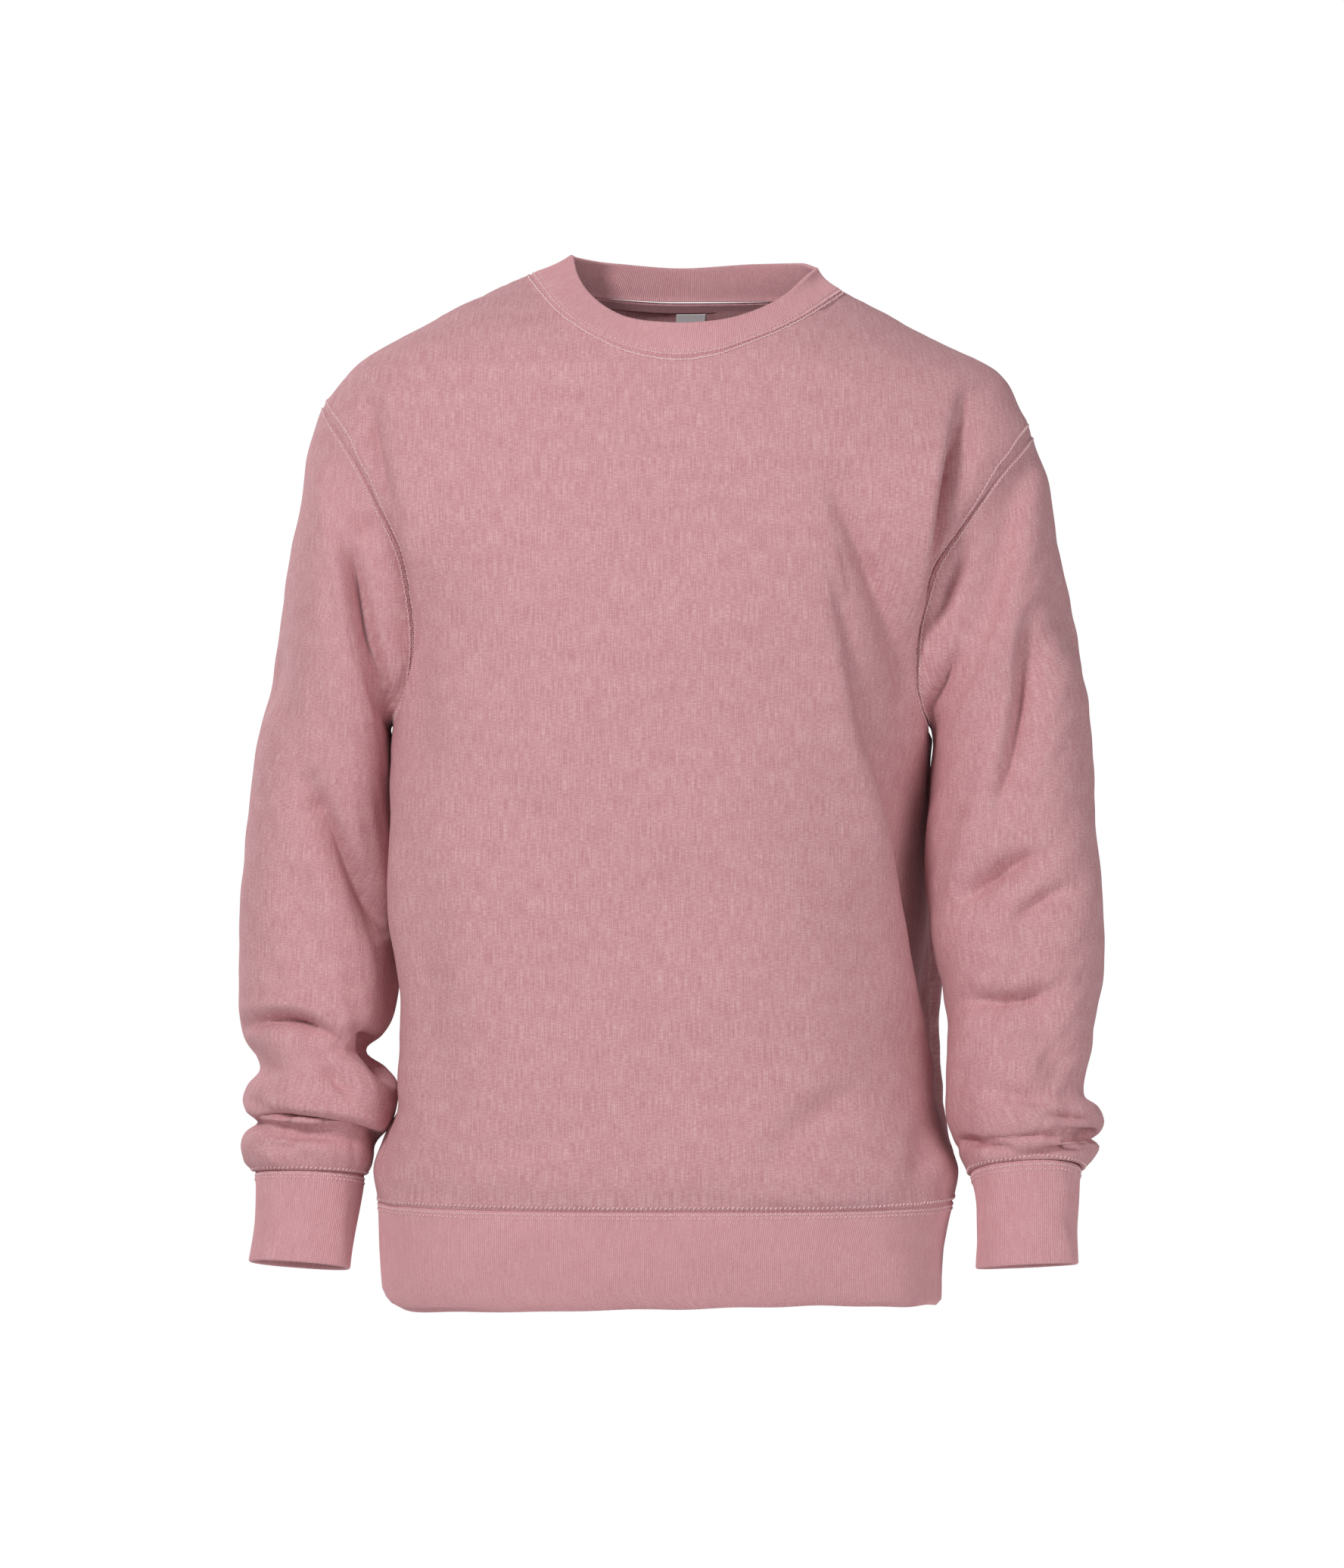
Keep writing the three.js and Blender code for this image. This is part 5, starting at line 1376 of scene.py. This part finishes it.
armhole_stitches, cuff_stitches = {}, {}
for side in ("right", "left"):
    armhole_thread = Thread("stitching_armhole_" + side)
    stitch_edge(armhole_thread, sleeves[side], "bottom", everywhere, ARMHOLE_ROWS)
    for cloth in (front, back):
        height = cloth["points"][:, 0 if side == "right" else -1, 2]
        stitch_edge(armhole_thread, cloth, side + " side", height > ARMPIT_Z, ARMHOLE_ROWS)
    armhole_stitches[side] = armhole_thread.piece()
    cuff_thread = Thread("stitching_cuff_" + side)
    cuff = cuffs[side]
    cuff_cloth = {**cuff, "up": np.broadcast_to(cuff["up"][:, None], cuff["points"].shape[:2])}
    stitch_edge(cuff_thread, cuff_cloth, "bottom", everywhere, ZIGZAG)
    stitch_edge(cuff_thread, sleeves[side], "top", everywhere, SLANTED)
    cuff_stitches[side] = cuff_thread.piece()


# %% [markdown]
# ## Neck tape and label
# Inside the back of the neck a herringbone tape covers the seam, and a small white woven label hangs below it.
# The label is plain on this garment. Both lie on the inside of the back panel, so they are made from its points.

# %% Neck tape and label
TAPE_WIDTH = 9
TAPE_ENDS = 7.5 / 13  # share of u from the middle at which the tape stops
LABEL_WIDTH = 21
LABEL_LENGTH = 26
LABEL_ASIDE = 8  # towards the wearer's left


def strip_inside(name, us, belows, lift, thickness, material, node):
    points = np.empty((len(belows), len(us), 3))
    v = 2 - np.linspace(0, 0.62, 240) ** 1.4
    inner = panel_surface("back", us[None, :], v[:, None])
    inner = inner - normals_of(inner, 1) * FLEECE
    step = np.linalg.norm(np.diff(inner, axis=0), axis=-1)
    length = np.concatenate([np.zeros((1, len(us))), np.cumsum(step, axis=0)])
    for k in range(len(us)):
        for i in range(3):
            points[:, k, i] = np.interp(belows, length[:, k], inner[:, k, i])
    to_middle = np.stack([NECK_CENTRE_X - points[..., 0], -points[..., 1] - 30, 0 * points[..., 0]], -1)
    to_middle /= np.linalg.norm(to_middle, axis=-1, keepdims=True)
    points = points + to_middle * lift
    across, up = across_and_up(points)
    mesh = new_mesh(name, points, np.stack([across, up], -1))
    face_in(mesh)
    piece = add_piece(name, mesh, material, node)
    thicken(piece, thickness)
    return piece


def face_in(mesh):
    """Turns a strip inside the back of the neck so that it faces the neck."""
    normal = np.empty(len(mesh.polygons) * 3)
    mesh.polygons.foreach_get("normal", normal)
    if normal.reshape(-1, 3)[:, 1].mean() > 0:
        mesh.flip_normals()


tape_u = np.linspace(-TAPE_ENDS, TAPE_ENDS, 120)
tape_piece = strip_inside(
    "neck_tape_herringbone", tape_u, np.linspace(1.6, TAPE_WIDTH, 10), 1.6, 0.8, tape, "neck_tape"
)
seam_width = np.abs(panel_surface("back", np.array([0.0, 0.1]), np.array(2.0))[:, 0]).ptp() * 10
label_half = LABEL_WIDTH / 2 / seam_width
label_u = np.linspace(-label_half, label_half, 24) + LABEL_ASIDE / seam_width
label_drop = np.linspace(TAPE_WIDTH + 0.4, TAPE_WIDTH + LABEL_LENGTH, 30)
label_piece = strip_inside(
    "neck_label_woven", label_u, label_drop, 1.3, 0.45, label, "neck_label"
)

# %% [markdown]

# %% [markdown]
# ## Floor and light
# The garment is held where a wearer would hold it, above a pale floor. A large soft light from the wearer's right
# and above gives the folds their shape, a weaker one fills from the other side, and a white world does the rest.

# %% Floor
FLOOR_Z = -1150 * MM
FLOOR_RADIUS = 1.85
floor_mesh = bpy.data.meshes.new("floor")
bm = bmesh.new()
bmesh.ops.create_circle(bm, cap_ends=True, segments=96, radius=FLOOR_RADIUS)
bmesh.ops.translate(bm, verts=bm.verts, vec=(0, 0, FLOOR_Z))
bmesh.ops.recalc_face_normals(bm, faces=bm.faces)
bm.to_mesh(floor_mesh)
bm.free()
floor_nodes = Nodes("pale_floor")
floor_nodes.shader.inputs["Base Color"].default_value = (0.86, 0.86, 0.86, 1)
floor_nodes.shader.inputs["Roughness"].default_value = 0.8
floor_mesh.materials.append(floor_nodes.material)
floor = bpy.data.objects.new("floor", floor_mesh)
bpy.context.scene.collection.objects.link(floor)


# %% Lights and world
def soft_light(name, place, aim, size, watts):
    light = bpy.data.lights.new(name, "AREA")
    light.shape = "DISK"
    light.size = size
    light.energy = watts
    lamp = bpy.data.objects.new(name, light)
    lamp.location = place
    lamp.rotation_euler = (Vector(aim) - Vector(place)).to_track_quat("-Z", "Y").to_euler()
    bpy.context.scene.collection.objects.link(lamp)


MIDDLE = (0, 0, -0.33)
soft_light("key", (-1.3, -2.1, 1.1), MIDDLE, 0.7, 44)
soft_light("fill", (2.0, -2.2, -0.1), MIDDLE, 1.8, 24)
soft_light("back_left", (-1.8, 2.2, 0.9), MIDDLE, 1.6, 40)

world = bpy.data.worlds.new("studio")
world.use_nodes = True
bpy.context.scene.world = world
tree = world.node_tree
background = tree.nodes["Background"]
background.inputs["Color"].default_value = (1, 1, 1, 1)
background.inputs["Strength"].default_value = 0.26
white = tree.nodes.new("ShaderNodeBackground")
white.inputs["Color"].default_value = (1, 1, 1, 1)
white.inputs["Strength"].default_value = 1.0
light_path = tree.nodes.new("ShaderNodeLightPath")
choose = tree.nodes.new("ShaderNodeMixShader")
tree.links.new(light_path.outputs["Is Camera Ray"], choose.inputs[0])
tree.links.new(background.outputs[0], choose.inputs[1])
tree.links.new(white.outputs[0], choose.inputs[2])
tree.links.new(choose.outputs[0], tree.nodes["World Output"].inputs["Surface"])
bpy.context.scene.view_settings.view_transform = "Standard"
